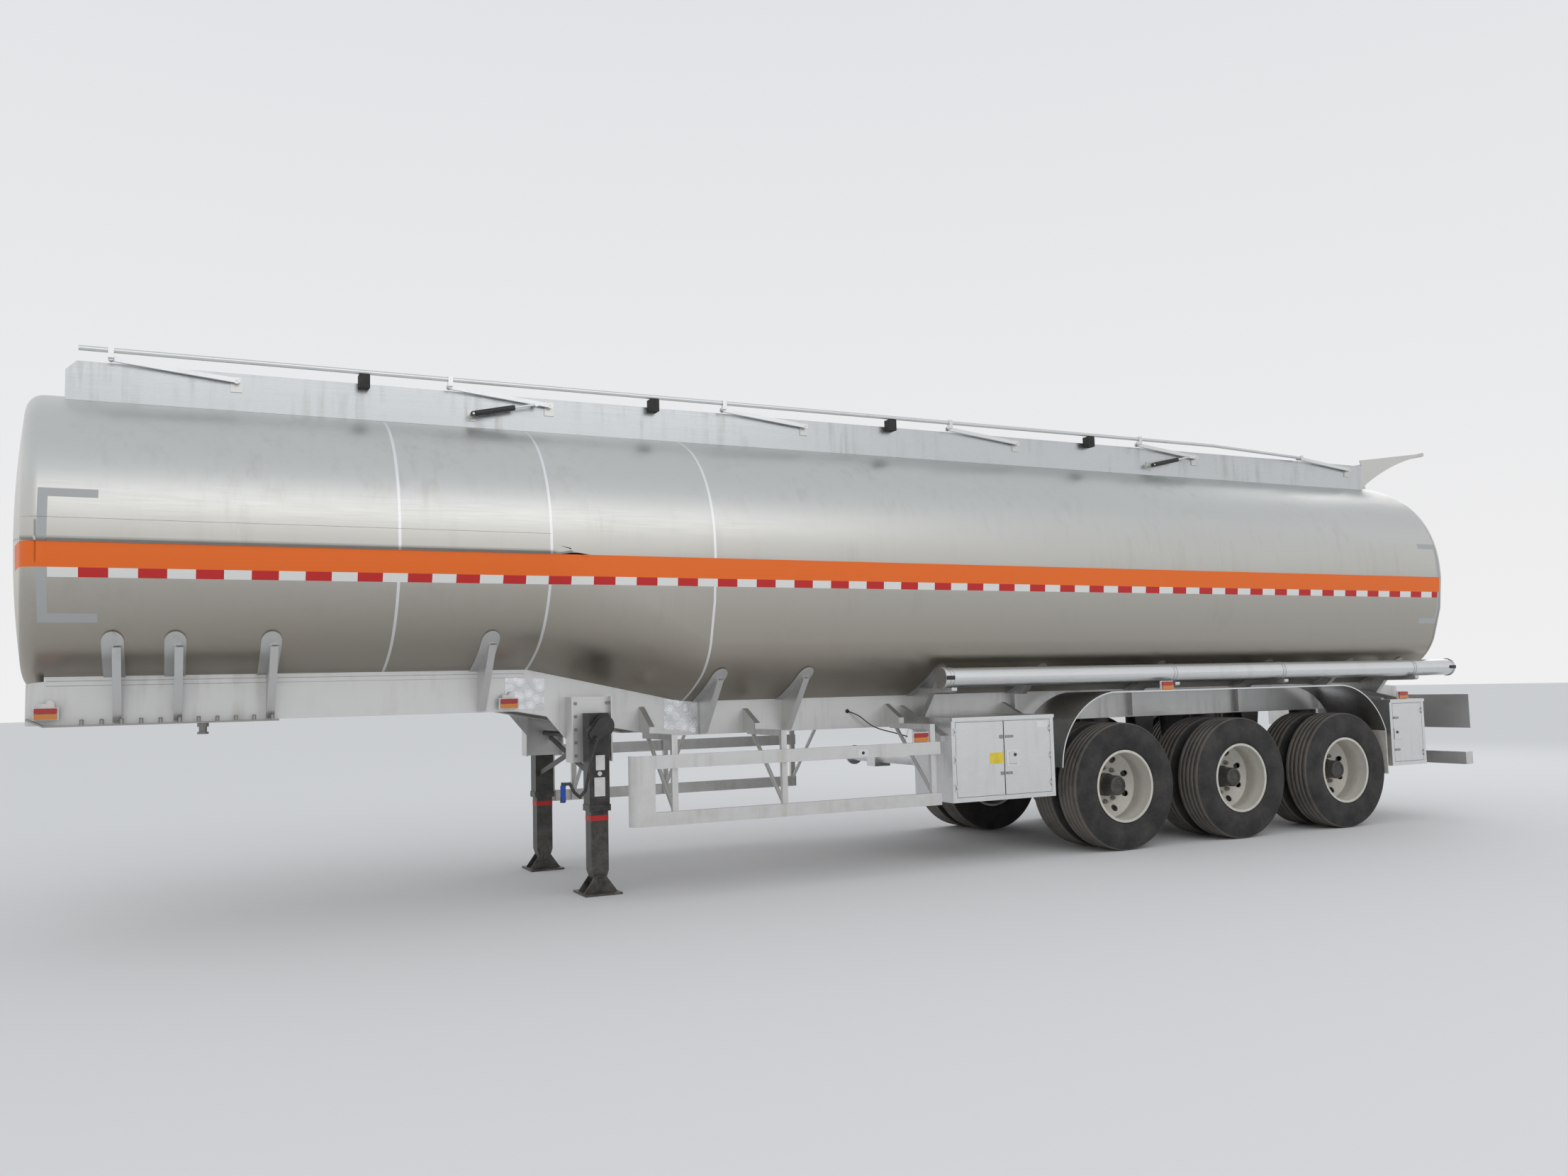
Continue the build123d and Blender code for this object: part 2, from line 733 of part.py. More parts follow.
def ladder(rear_dish):
    """Two stiles and their rungs, hung from the cross tube and held off the rear head."""
    top_z = cross_tube_z()
    bottom_z = panel_top_z
    tube = eye(ladder_x, top_z, grab_tube, -coaming_face_y, coaming_face_y)
    stiles = [rod((ladder_x, y, bottom_z), (ladder_x, y, top_z), ladder_tube)
              for y in (-ladder_half_width, ladder_half_width)]
    rungs = []
    z = bottom_z + 120.0
    while z < top_z - 120.0:
        rungs.append(rod((ladder_x, -ladder_half_width, z), (ladder_x, ladder_half_width, z), 11.0))
        z += ladder_pitch
    stays = []
    for z in (tank_axis_z - 500.0, tank_axis_z + 700.0):
        for y in (-ladder_half_width, ladder_half_width):
            stays.append(rod((ladder_x, y, z), (rear_seam, y, z), 12.0))
    body = joined(stiles + rungs + stays)
    return body - tube - rear_dish


def beam_bottom():
    """Bottom line of a main beam from front to rear: (x, z)."""
    return [(beam_front, beam_front_z), (slope_front, beam_front_z), (slope_rear, beam_rear_z),
            (beam_rear, beam_rear_z)]


def main_beams(tank):
    """Two stepped channel beams whose webs stand up to the tank's belly, with what is welded to them."""
    low = beam_bottom()
    web = low + [(beam_rear, beam_rear_z + 200.0), (rear_seam, beam_rear_z + 220.0), (rear_seam, tank_axis_z),
                 (front_seam, tank_axis_z), (front_seam, beam_front_z + beam_nose_height + 15.0),
                 (beam_front - 40.0, beam_front_z + beam_nose_height + 10.0),
                 (beam_front, beam_front_z + beam_nose_height)]
    plate = prism_y(web, beam_inner_y, beam_face_y)
    strip = low + [(x, z + beam_flange) for x, z in reversed(low)]
    flange = prism_y(strip, beam_face_y - beam_flange_width, beam_inner_y)
    beam = joined([plate, flange] + leg_mount()) - tank
    left = joined([beam] + box_arms())
    return [left, mirrored(beam)]


def leg_mount():
    """Plate that a landing leg is bolted to, its edge flanges and the gussets from the beam."""
    plate_y = leg_y - leg_side / 2
    front, rear = leg_mount_front, leg_mount_rear
    low, top = leg_mount_low_z, leg_mount_top_z
    plate = block(rear, front, plate_y - leg_mount_plate, plate_y, low, top)
    flanges = [block(x, x + leg_mount_flange, beam_face_y, leg_mount_face_y, low, top)
               for x in (rear, front - leg_mount_flange)]
    shelf = block(rear, front, beam_face_y, plate_y, top - leg_mount_flange, top)
    under = beam_underside(front)
    gusset = prism_y([(front, under), (front + leg_gusset_length, beam_underside(front + leg_gusset_length)),
                      (front, under - leg_gusset_length)], beam_face_y - beam_web, beam_face_y)
    foot = block(front - leg_mount_flange, front, beam_face_y - beam_web, beam_face_y,
                 under - leg_gusset_length, under)
    return [plate, shelf, gusset, foot] + flanges


def cross_members(tank):
    """Plates between the beams at each saddle, shaped to the belly, with a hole in each."""
    pieces = []
    for x in front_saddles + open_saddles + wheel_saddles:
        low = beam_front_z if x > slope_front else beam_rear_z
        plate = block(x - saddle_plate / 2, x + saddle_plate / 2, -beam_inner_y, beam_inner_y, low + beam_flange,
                      tank_axis_z)
        pieces.append(plate - tank)
    return pieces


def saddle(x, tank, grown):
    """One outrigger: a gusset with a flange on its sloping edge, and a round-ended pad on the tank's skin."""
    front = x > slope_front
    low = (beam_front_z if front else beam_rear_z) + beam_flange
    skin = front_lower_half if front else rear_lower_half
    tip = (saddle_reach_y, tank_surface_z(saddle_reach_y, skin, False))
    foot_y = beam_face_y + saddle_foot
    edge = [(foot_y, low)]
    if x in wheel_saddles:
        edge += [(foot_y, mudguard_top_z), (mudguard_inner_y + 60.0, mudguard_top_z)]
    start = edge[-1]
    run = hypot(tip[0] - start[0], tip[1] - start[1])
    uy, uz = (tip[0] - start[0]) / run, (tip[1] - start[1]) / run
    step = (tip[0] - uy * saddle_step, tip[1] - uz * saddle_step)
    edge += [step, (step[0] - uz * saddle_step_in, step[1] + uy * saddle_step_in)]
    outline = [(beam_face_y, low)] + edge + [(tip[0] - saddle_step_in, tip[1]), (tip[0] - saddle_step_in, tank_axis_z),
                                             (beam_face_y, tank_axis_z)]
    plate = prism_x(outline, x - saddle_plate / 2, x + saddle_plate / 2)
    inward = (-uz * saddle_flange, uy * saddle_flange)
    flange = prism_x([start, step, (step[0] + inward[0], step[1] + inward[1]),
                      (start[0] + inward[0], start[1] + inward[1])],
                     x + saddle_plate / 2 - saddle_flange_width, x + saddle_plate / 2)
    pad_half = saddle_pad_width / 2
    top = tank_surface_z(saddle_pad_end_y, skin, False)
    zone = block(x - pad_half, x + pad_half, beam_face_y, tank_half_width, tank_axis_z - 1300.0, top - pad_half)
    zone = zone + eye(x, top - pad_half, pad_half, beam_face_y, tank_half_width)
    pad = (barrel_part(x + pad_half, x - pad_half, skin, saddle_pad) - tank) & zone
    return joined([(plate + flange) - grown, pad])


def saddles(tank, grown):
    """All outriggers on both sides, and the plates between the beams in line with them."""
    stations = front_saddles + open_saddles + wheel_saddles
    left = [saddle(x, tank, grown) for x in stations]
    return both_sides(left) + cross_members(tank)


def coupler_plate():
    """Flat plate under the front of the beams, its leading edge turned up, with a row of studs."""
    top = beam_front_z
    low = top - coupler_plate_thickness
    nose = coupler_front - coupler_nose
    plate = prism_y([(coupler_rear, low), (nose, low), (coupler_front, low + 45.0),
                     (coupler_front, top + 45.0), (nose, top), (coupler_rear, top)],
                    -coupler_half_width, coupler_half_width)
    hole = Pos(kingpin_x, 0, top) * Cylinder(kingpin_collar_radius, 60.0)
    studs = []
    for side in (-1, 1):
        for i in range(stud_count):
            x = nose - stud_front - i * stud_pitch
            y = side * (beam_face_y + stud_out)
            studs.append(rod((x, y, top), (x, y, top + 26.0), 11.0))
    beams = both_sides([prism_y(beam_bottom()[:2] + [(slope_front, beam_front_z + 90.0),
                                                     (beam_front, beam_front_z + 90.0)],
                                beam_face_y - beam_flange_width, beam_face_y)])
    body = plate - hole
    for beam in beams:
        body = body - beam
    return joined([body] + studs)


def kingpin():
    """Flanged kingpin: collar, neck and head, turned about a vertical line."""
    face = beam_front_z - coupler_plate_thickness
    profile = [(0, face + 70.0), (70.0, face + 70.0), (70.0, face + coupler_plate_thickness),
               (kingpin_collar_radius, face + coupler_plate_thickness),
               (kingpin_collar_radius, face - kingpin_collar_drop),
               (kingpin_neck_radius, face - kingpin_collar_drop), (kingpin_neck_radius, face - kingpin_neck_drop),
               (kingpin_head_radius, face - kingpin_neck_drop), (kingpin_head_radius, face - kingpin_drop),
               (0, face - kingpin_drop)]
    outline = Polyline(*[(kingpin_x + r, 0, z) for r, z in profile], close=True)
    return revolve(make_face(outline), Axis((kingpin_x, 0, 0), (0, 0, 1)))


def landing_legs():
    """Outer leg tubes with a collar at the bottom."""
    half, inner = leg_side / 2, ram_side / 2
    grown = half + leg_collar
    tube = block(leg_x - half, leg_x + half, leg_y - half, leg_y + half, leg_bottom_z, leg_top_z)
    collar = block(leg_x - grown, leg_x + grown, leg_y - half, leg_y + grown, leg_bottom_z,
                   leg_bottom_z + leg_collar_height)
    hollow = block(leg_x - inner, leg_x + inner, leg_y - inner, leg_y + inner, leg_bottom_z - 1.0,
                   leg_top_z - 200.0)
    return both_sides([(tube + collar) - hollow]) + leg_braces()


def leg_braces():
    """Two flat bars crossing between the legs, each from one leg's foot end to the other's plate."""
    leg_in = leg_y - leg_side / 2
    plate_in = leg_in - leg_mount_plate
    bars = []
    for side in (1, -1):
        outline = [(-side * leg_in, brace_low_z), (-side * leg_in, brace_low_z + brace_width),
                   (side * plate_in, brace_high_z + brace_width), (side * plate_in, brace_high_z)]
        x0 = leg_x + side * (shaft_radius + 2 * brace_thickness) - brace_thickness / 2
        bars.append(prism_x(outline, x0, x0 + brace_thickness))
    return bars


def landing_feet():
    """Inner rams that taper to a pin between the two cheeks of a broad foot."""
    half = ram_side / 2
    ram = block(leg_x - half, leg_x + half, leg_y - half, leg_y + half, ram_taper_z, leg_top_z - 220.0)
    tip = prism_y([(leg_x - half, ram_taper_z), (leg_x + half, ram_taper_z), (leg_x + 32.0, foot_pin_z - 30.0),
                   (leg_x - 32.0, foot_pin_z - 30.0)], leg_y - half, leg_y + half)
    sole = block(leg_x - foot_length / 2, leg_x + foot_length / 2, leg_y - foot_width / 2, leg_y + foot_width / 2,
                 0, foot_plate)
    pieces = [ram, tip, sole]
    for y in (leg_y - half - foot_cheek, leg_y + half):
        pieces.append(prism_y([(leg_x - foot_length / 2 + 12.0, foot_plate), (leg_x + foot_length / 2 - 12.0, foot_plate),
                               (leg_x + 34.0, foot_pin_z + 34.0), (leg_x - 34.0, foot_pin_z + 34.0)],
                              y, y + foot_cheek))
    pieces.append(eye(leg_x, foot_pin_z, 18.0, leg_y - half - foot_cheek - 8.0, leg_y + half + foot_cheek + 8.0))
    return both_sides([joined(pieces)])


def landing_gearing():
    """Pear-shaped gear covers, the shaft that turns both legs, and the folded crank on the left."""
    out = leg_y + leg_side / 2
    big = (leg_x - gear_shift / 2, gear_height_z + 20.0)
    small = (leg_x + gear_shift, gear_height_z - 40.0)
    covers = []
    for rise, shrink in ((gear_depth - 22.0, 0.0), (gear_depth, 14.0)):
        run = hypot(small[0] - big[0], small[1] - big[1])
        nx, nz = -(small[1] - big[1]) / run, (small[0] - big[0]) / run
        r0, r1 = gear_big_radius - shrink, gear_small_radius - shrink
        waist = prism_y([(big[0] + nx * r0, big[1] + nz * r0), (small[0] + nx * r1, small[1] + nz * r1),
                         (small[0] - nx * r1, small[1] - nz * r1), (big[0] - nx * r0, big[1] - nz * r0)],
                        out, out + rise)
        covers += [eye(big[0], big[1], r0, out, out + rise), eye(small[0], small[1], r1, out, out + rise), waist]
    cover = joined(covers)
    turn_x = leg_x + gear_shift
    path = [(turn_x, shaft_z), (turn_x + 55.0, 930.0), (turn_x + 95.0, 735.0), (turn_x + 135.0, 690.0),
            (turn_x + 175.0, 725.0), (turn_x + 205.0, 785.0), (turn_x + 250.0, 785.0)]
    stub = rod((turn_x, out + gear_depth - 4.0, shaft_z), (turn_x, crank_y + crank_radius, shaft_z), 13.0)
    pieces = [cover, stub]
    for (x0, z0), (x1, z1) in zip(path, path[1:]):
        pieces.append(rod((x0, crank_y, z0), (x1, crank_y, z1), crank_radius))
        pieces.append(Pos(x1, crank_y, z1) * Sphere(crank_radius + crank_swell))
    grip_x, grip_z = path[-1]
    pieces.append(rod((grip_x, crank_y, grip_z + crank_radius), (grip_x + 8.0, crank_y, grip_z - 125.0), grip_radius))
    shaft_end = leg_y - leg_side / 2 - leg_mount_plate - seat_gap
    shaft = rod((leg_x, -shaft_end, shaft_z), (leg_x, shaft_end, shaft_z), shaft_radius)
    return [joined(pieces), mirrored(cover), shaft]


def side_guard():
    """Two rails with a rolled nose, hung on posts, arms and braces from the beam."""
    y0, y1 = guard_face_y - guard_tube, guard_face_y
    nose_start = guard_nose - guard_nose_length
    pieces = [block(guard_end, nose_start, y0, y1, low, low + guard_rail_height)
              for low in (guard_bottom_z, guard_top_z - guard_rail_height)]
    flat_end = guard_nose - guard_nose_radius
    sheet = block(nose_start, flat_end, y1 - guard_nose_sheet, y1, guard_bottom_z, guard_top_z)
    centre_y = y1 - guard_nose_radius
    roll = Pos(flat_end, centre_y, 0) * extrude(Plane.XY.offset(guard_bottom_z) * (
        Circle(guard_nose_radius) - Circle(guard_nose_radius - guard_nose_sheet)), guard_top_z - guard_bottom_z)
    quarter = roll & block(flat_end, guard_nose + 1.0, centre_y, y1 + 1.0, guard_bottom_z, guard_top_z)
    pieces += [sheet, quarter]
    post_y0 = y0 - guard_post_depth
    half = guard_post_width / 2
    for x in guard_posts:
        under = beam_underside(x) + guard_bracket_plate
        arm_low = guard_arm_top_z - guard_arm_height
        pieces.append(block(x - half, x + half, post_y0, y0, guard_bottom_z + 6.0, guard_arm_top_z))
        pieces.append(block(x - half, x + half, guard_arm_inner_y, post_y0, arm_low, guard_arm_top_z))
        pieces.append(prism_x([(post_y0, arm_low), (post_y0, arm_low - 60.0), (post_y0 - 60.0, arm_low)],
                              x - 4.0, x + 4.0))
        outer = [(beam_face_y, under), (guard_bracket_out_y, guard_arm_top_z - 20.0), (guard_bracket_out_y, guard_arm_top_z + 45.0),
                 (beam_face_y, under + guard_bracket_height)]
        inner = [(beam_face_y + guard_bracket_plate, max(under, guard_arm_top_z) + guard_bracket_plate),
                 (guard_bracket_out_y - 60.0, guard_arm_top_z + guard_bracket_plate),
                 (guard_bracket_out_y - 60.0, guard_arm_top_z + 50.0),
                 (beam_face_y + guard_bracket_plate, under + guard_bracket_height - 2 * guard_bracket_plate)]
        pieces.append(prism_x(outer, x - half, x + half) - prism_x(inner, x - half, x + half - guard_bracket_plate))
        pieces.append(rod((x, guard_arm_inner_y + 60.0, arm_low + 10.0), (x, post_y0 + 10.0, guard_bottom_z + 80.0),
                          guard_brace_radius))
    return joined(pieces)


def beam_underside(x):
    """Height of the main beam's bottom face at x."""
    line = beam_bottom()
    for (x0, z0), (x1, z1) in zip(line, line[1:]):
        if x1 <= x <= x0:
            return z0 + (z1 - z0) * (x0 - x) / (x0 - x1)
    return beam_rear_z


def open_box(front, rear, face_y, depth, low, top):
    """A sheet box with a bordered front and an overhanging roof."""
    y0 = face_y - depth
    shell = block(rear, front, y0, face_y, low, top)
    inside = block(rear + box_wall, front - box_wall, y0 + box_wall, face_y - door_thickness, low + box_wall,
                   top - box_wall)
    mouth = block(rear + box_border, front - box_border, face_y - door_thickness - 1.0, face_y + 1.0,
                  low + box_border, top - box_border)
    eave = block(rear, front, face_y, face_y + box_roof_out, top - box_wall, top)
    lip = block(rear, front, face_y + box_roof_out - box_wall, face_y + box_roof_out, top - box_roof_lip, top)
    return joined([shell, eave, lip]) - inside - mouth


def hinge_heights(low, top, count):
    """Heights of a door's hinges, evenly spread."""
    first, last = low + box_border + 75.0, top - box_border - 75.0
    return [first + (last - first) * i / (count - 1) for i in range(count)]


def hinge_sections(z):
    """The two fixed knuckles and the moving one between them: (from, to, fixed)."""
    gap = running_gap * 4
    return [(z - hinge_half_height, z - hinge_knuckle_half - gap, True),
            (z - hinge_knuckle_half, z + hinge_knuckle_half, False),
            (z + hinge_knuckle_half + gap, z + hinge_half_height, True)]


def hinge_pins(edge_x, outward, face_y, heights):
    """Fixed leaves, knuckles and pins of a door's hinges on the box's border."""
    axis_y = face_y + hinge_out
    pieces = []
    for z in heights:
        for z0, z1, fixed in hinge_sections(z):
            if fixed:
                pieces.append(Pos(edge_x, axis_y, z0) * extrude(Circle(hinge_radius), z1 - z0))
                pieces.append(block(edge_x, edge_x + outward * hinge_leaf, face_y, face_y + hinge_out, z0, z1))
        pieces.append(Pos(edge_x, axis_y, z - hinge_half_height) * extrude(Circle(hinge_pin_radius),
                                                                           2 * hinge_half_height))
    return pieces


def hinge_knuckles(edge_x, outward, face_y, heights):
    """Moving leaves and knuckles on a door, and the bores for the pins."""
    axis_y = face_y + hinge_out
    leaves, bores = [], []
    for z in heights:
        for z0, z1, fixed in hinge_sections(z):
            if not fixed:
                leaves.append(Pos(edge_x, axis_y, z0) * extrude(Circle(hinge_radius), z1 - z0))
                leaves.append(block(edge_x - outward * hinge_leaf, edge_x, face_y - 1.0, face_y + hinge_out, z0, z1))
                bores.append(Pos(edge_x, axis_y, z0 - 1.0) * extrude(Circle(hinge_pin_radius + running_gap),
                                                                     z1 - z0 + 2.0))
    return leaves, bores


def box_arms():
    """Arms from the left beam: two beside the tool box's ends and two over the rear box's roof."""
    pieces = []
    for x0 in (toolbox_front, toolbox_rear - box_arm_width):
        pieces.append(prism_x([(beam_face_y, beam_rear_z + beam_flange), (toolbox_face_y - 90.0, 960.0),
                               (toolbox_face_y - 90.0, 1005.0), (beam_face_y, 1240.0)], x0, x0 + box_arm_width))
    back = rear_box_face_y - rear_box_depth
    for share in (0.25, 0.72):
        x0 = rear_box_front + (rear_box_rear - rear_box_front) * share
        pieces.append(prism_x([(beam_face_y, beam_rear_z + beam_flange), (back, beam_rear_z + beam_flange),
                               (back, rear_box_top_z), (rear_box_face_y - 180.0, rear_box_top_z),
                               (rear_box_face_y - 180.0, rear_box_top_z + 14.0), (beam_face_y, 1260.0)],
                              x0 - box_arm_width, x0))
    return pieces


def pan_door(x0, x1, face_y, low, top, edge_x, outward, hinges):
    """A flat door with a shallow raised panel and hinge knuckles on one edge."""
    z0, z1 = low + box_border + door_gap, top - box_border - door_gap
    slab = block(x0, x1, face_y - door_thickness, face_y, z0, z1)
    margin = door_panel_margin
    hollow = block(x0 + margin, x1 - margin, face_y - door_thickness - 1.0, face_y - door_thickness / 2,
                   z0 + margin, z1 - margin)
    leaves, bores = hinge_knuckles(edge_x, outward, face_y, hinge_heights(low, top, hinges))
    door = joined([slab - hollow] + leaves)
    for bore in bores:
        door = door - bore
    return door


def toolbox():
    """Two-door tool box under the left side, with the fixed halves of its hinges."""
    body = open_box(toolbox_front, toolbox_rear, toolbox_face_y, toolbox_depth, toolbox_bottom_z, toolbox_top_z)
    heights = hinge_heights(toolbox_bottom_z, toolbox_top_z, 3)
    return joined([body] + hinge_pins(toolbox_front - box_border, 1, toolbox_face_y, heights)
                  + hinge_pins(toolbox_rear + box_border, -1, toolbox_face_y, heights))


def toolbox_door(forward):
    """One leaf of the tool box."""
    middle = (toolbox_front + toolbox_rear) / 2
    if forward:
        edge = toolbox_front - box_border
        return pan_door(middle + door_split / 2, edge - door_gap, toolbox_face_y, toolbox_bottom_z, toolbox_top_z,
                        edge, 1, 3)
    edge = toolbox_rear + box_border
    return pan_door(edge + door_gap, middle - door_split / 2, toolbox_face_y, toolbox_bottom_z, toolbox_top_z,
                    edge, -1, 3)


def rear_box():
    """Single-door box behind the last wheel, with the fixed halves of its hinges."""
    body = open_box(rear_box_front, rear_box_rear, rear_box_face_y, rear_box_depth, rear_box_bottom_z,
                    rear_box_top_z)
    heights = hinge_heights(rear_box_bottom_z, rear_box_top_z, 2)
    return joined([body] + hinge_pins(rear_box_rear + box_border, -1, rear_box_face_y, heights))


def rear_box_door():
    """The rear box's door, hinged at its rear edge."""
    edge = rear_box_rear + box_border
    return pan_door(edge + door_gap, rear_box_front - box_border - door_gap, rear_box_face_y, rear_box_bottom_z,
                    rear_box_top_z, edge, -1, 2)


def mudguard():
    """One long sheet over three wheels: a flat top with rounded ends and a rolled outer edge."""
    top = mudguard_top_z - mudguard_sheet / 2
    front, rear = mudguard_front, mudguard_rear
    # Columns: x and z of the start, a middle point and the end of each arc, along the sheet's middle
    front_arc = [(front, mudguard_front_z), (front - 140.0, 1085.0), (front - 543.0, top)]
    rear_arc = [(rear + 557.0, top), (rear + 150.0, 1120.0), (rear, mudguard_rear_z)]
    half = mudguard_sheet / 2
    pieces = [band(front_arc, rear_arc, half, mudguard_inner_y, mudguard_outer_y),
              band(front_arc, rear_arc, mudguard_edge_half, mudguard_outer_y - mudguard_edge_width, mudguard_outer_y)]
    return joined(pieces)


def band(front_arc, rear_arc, half, y0, y1):
    """A strip of even thickness along two arcs and the straight run between them."""
    outer, inner = [], []
    for grow, store in ((half, outer), (-half, inner)):
        for points in (front_arc, rear_arc):
            centre, radius = circle_through(points)
            store.append([(centre[0] + (p[0] - centre[0]) * (radius + grow) / radius,
                           centre[1] + (p[1] - centre[1]) * (radius + grow) / radius) for p in points])

    def at(p):
        return (p[0], y0, p[1])

    (a, b), (c, d) = outer, inner
    edges = [ThreePointArc(at(a[0]), at(a[1]), at(a[2])), Line(at(a[2]), at(b[0])),
             ThreePointArc(at(b[0]), at(b[1]), at(b[2])), Line(at(b[2]), at(d[2])),
             ThreePointArc(at(d[2]), at(d[1]), at(d[0])), Line(at(d[0]), at(c[2])),
             ThreePointArc(at(c[2]), at(c[1]), at(c[0])), Line(at(c[0]), at(a[0]))]
    return extrude(Face(Wire(edges)), y1 - y0, dir=(0, 1, 0))


def circle_through(points):
    """Centre and radius of the circle through three points."""
    (ax, az), (bx, bz), (cx, cz) = points
    d = 2 * (ax * (bz - cz) + bx * (cz - az) + cx * (az - bz))
    a2, b2, c2 = ax * ax + az * az, bx * bx + bz * bz, cx * cx + cz * cz
    x = (a2 * (bz - cz) + b2 * (cz - az) + c2 * (az - bz)) / d
    z = (a2 * (cx - bx) + b2 * (ax - cx) + c2 * (bx - ax)) / d
    return (x, z), hypot(ax - x, az - z)


def mud_flaps():
    """Flaps hanging from the mudguards' rear ends."""
    half = flap_thickness / 2
    flap = block(mudguard_rear - half, mudguard_rear + half, mudguard_inner_y, mudguard_outer_y, flap_bottom_z,
                 mudguard_rear_z - flap_hang)
    return both_sides([flap])


def hose_tubes():
    """Long tubes that hold the hoses, with bevelled caps."""
    tube = rod((tube_rear, tube_y, tube_z), (tube_front, tube_y, tube_z), tube_radius)
    proud = tube_radius + tube_cap_proud
    caps = []
    for x, out in ((tube_rear, -1), (tube_front, 1)):
        cap = rod((x - tube_cap / 2, tube_y, tube_z), (x + tube_cap / 2, tube_y, tube_z), proud)
        rims = cap.edges().filter_by(GeomType.CIRCLE).sort_by(Axis.X)
        caps.append(chamfer(rims[-1 if out > 0 else 0], tube_cap_bevel))
    return both_sides([joined([tube] + caps)])


def tube_brackets():
    """Shelves bolted to the saddles' plates, with two straps each round the hose tube."""
    tubes = rod((tube_rear - 100.0, tube_y, tube_z), (tube_front + 100.0, tube_y, tube_z), tube_radius)
    top = tube_z - tube_radius
    pieces = []
    for saddle_x in tube_shelf_saddles:
        x0 = saddle_x + saddle_plate / 2
        x1 = x0 + tube_shelf_width
        shelf = prism_x([(tube_shelf_inner_y, top - tube_shelf_height), (tube_shelf_end_y - 25.0, top - tube_shelf_height),
                         (tube_shelf_end_y, top - tube_shelf_height + 14.0), (tube_shelf_end_y, top),
                         (tube_shelf_inner_y, top)], x0, x1)
        groove = block(x0 + 8.0, x1 - 8.0, tube_shelf_inner_y + 8.0, tube_shelf_end_y - 30.0,
                       top - tube_shelf_height - 1.0, top - 8.0)
        straps = [rod((x, tube_y, tube_z), (x + tube_strap_width, tube_y, tube_z), tube_radius + tube_strap)
                  for x in (x0 + 6.0, x1 - 6.0 - tube_strap_width)]
        pieces.append(joined([shelf - groove] + straps) - tubes)
    return both_sides(pieces)


def axles():
    """Three axle tubes with their spindles."""
    pieces = []
    for x in axle_xs:
        tube = rod((x, -axle_tube_end_y, axle_z), (x, axle_tube_end_y, axle_z), axle_tube_radius)
        spindle = rod((x, -spindle_end_y, axle_z), (x, spindle_end_y, axle_z), spindle_radius)
        pieces.append(tube + spindle)
    return pieces


def tyres(x, side):
    """The two tyres of a twin wheel."""
    profile = [(-105.0, rim_seat_radius), (-105.0, 300.0), (-125.0, 335.0), (-135.0, 410.0), (-131.0, 462.0),
               (-116.0, 512.0), (-106.0, tyre_radius), (106.0, tyre_radius), (116.0, 512.0), (131.0, 462.0),
               (135.0, 410.0), (125.0, 335.0), (105.0, 300.0), (105.0, rim_seat_radius)]
    pieces = []
    for offset in (-twin_offset, twin_offset):
        y = side * (twin_plane_y + offset)
        pieces.append(turned([(y + p, r) for p, r in profile], x, axle_z))
    return pieces


def twin_rims(x, side):
    """Two dished rims back to back on one hub, with the brake drum behind."""
    def at(points):
        return turned([(side * y, r) for y, r in points], x, axle_z)

    pieces = []
    for forward in (1, -1):
        centre = twin_plane_y + forward * twin_offset
        inner_edge = centre - forward * rim_half_width
        outer_edge = centre + forward * rim_half_width
        wall = rim_seat_radius - rim_wall
        lip = rim_flange_width
        barrel = [(inner_edge, wall), (inner_edge, rim_flange_radius),
                  (inner_edge + forward * lip, rim_flange_radius), (inner_edge + forward * lip, rim_seat_radius),
                  (outer_edge - forward * lip, rim_seat_radius), (outer_edge - forward * lip, rim_flange_radius),
                  (outer_edge, rim_flange_radius), (outer_edge, wall)]
        pieces.append(at(barrel))
        start, end = twin_plane_y, inner_edge + forward * 12.0
        disc = [(start, hub_radius - 20.0), (start, disc_flat_radius), (end, wall + 2.0),
                (end + forward * disc_thickness, wall + 2.0), (start + forward * disc_thickness, disc_flat_radius),
                (start + forward * disc_thickness, hub_radius - 20.0)]
        pieces.append(at(disc))
    hub = [(hub_inner_y, spindle_radius + running_gap), (hub_inner_y, hub_radius), (twin_plane_y - 30.0, hub_radius),
           (twin_plane_y - 30.0, hub_flange_radius - 6.0), (twin_plane_y - disc_thickness, hub_flange_radius - 6.0),
           (twin_plane_y - disc_thickness, hub_radius - 10.0), (twin_plane_y + 60.0, hub_radius - 10.0),
           (twin_plane_y + 70.0, cap_radius), (cap_end_y - 12.0, cap_radius), (cap_end_y, cap_radius - 16.0),
           (cap_end_y, 0.0), (spindle_end_y + 6.0, 0.0), (spindle_end_y + 6.0, spindle_radius + running_gap)]
    pieces.append(at(hub))
    drum = [(drum_inner_y, drum_radius - drum_wall), (drum_inner_y, drum_radius), (hub_inner_y + 30.0, drum_radius),
            (hub_inner_y + 30.0, hub_radius - 10.0), (hub_inner_y + 12.0, hub_radius - 10.0),
            (hub_inner_y + 12.0, drum_radius - drum_wall)]
    pieces.append(at(drum))
    whole = joined(pieces)
    cutter = []
    for i in range(hand_holes):
        angle = 2 * pi * (i + 0.5) / hand_holes
        hx, hz = x + hand_hole_circle * cos(angle), axle_z + hand_hole_circle * sin(angle)
        cutter.append(rod((hx, side * (twin_plane_y - 55.0), hz), (hx, side * (twin_plane_y + 55.0), hz),
                          hand_hole_radius))
    for hole in cutter:
        whole = whole - hole
    return whole


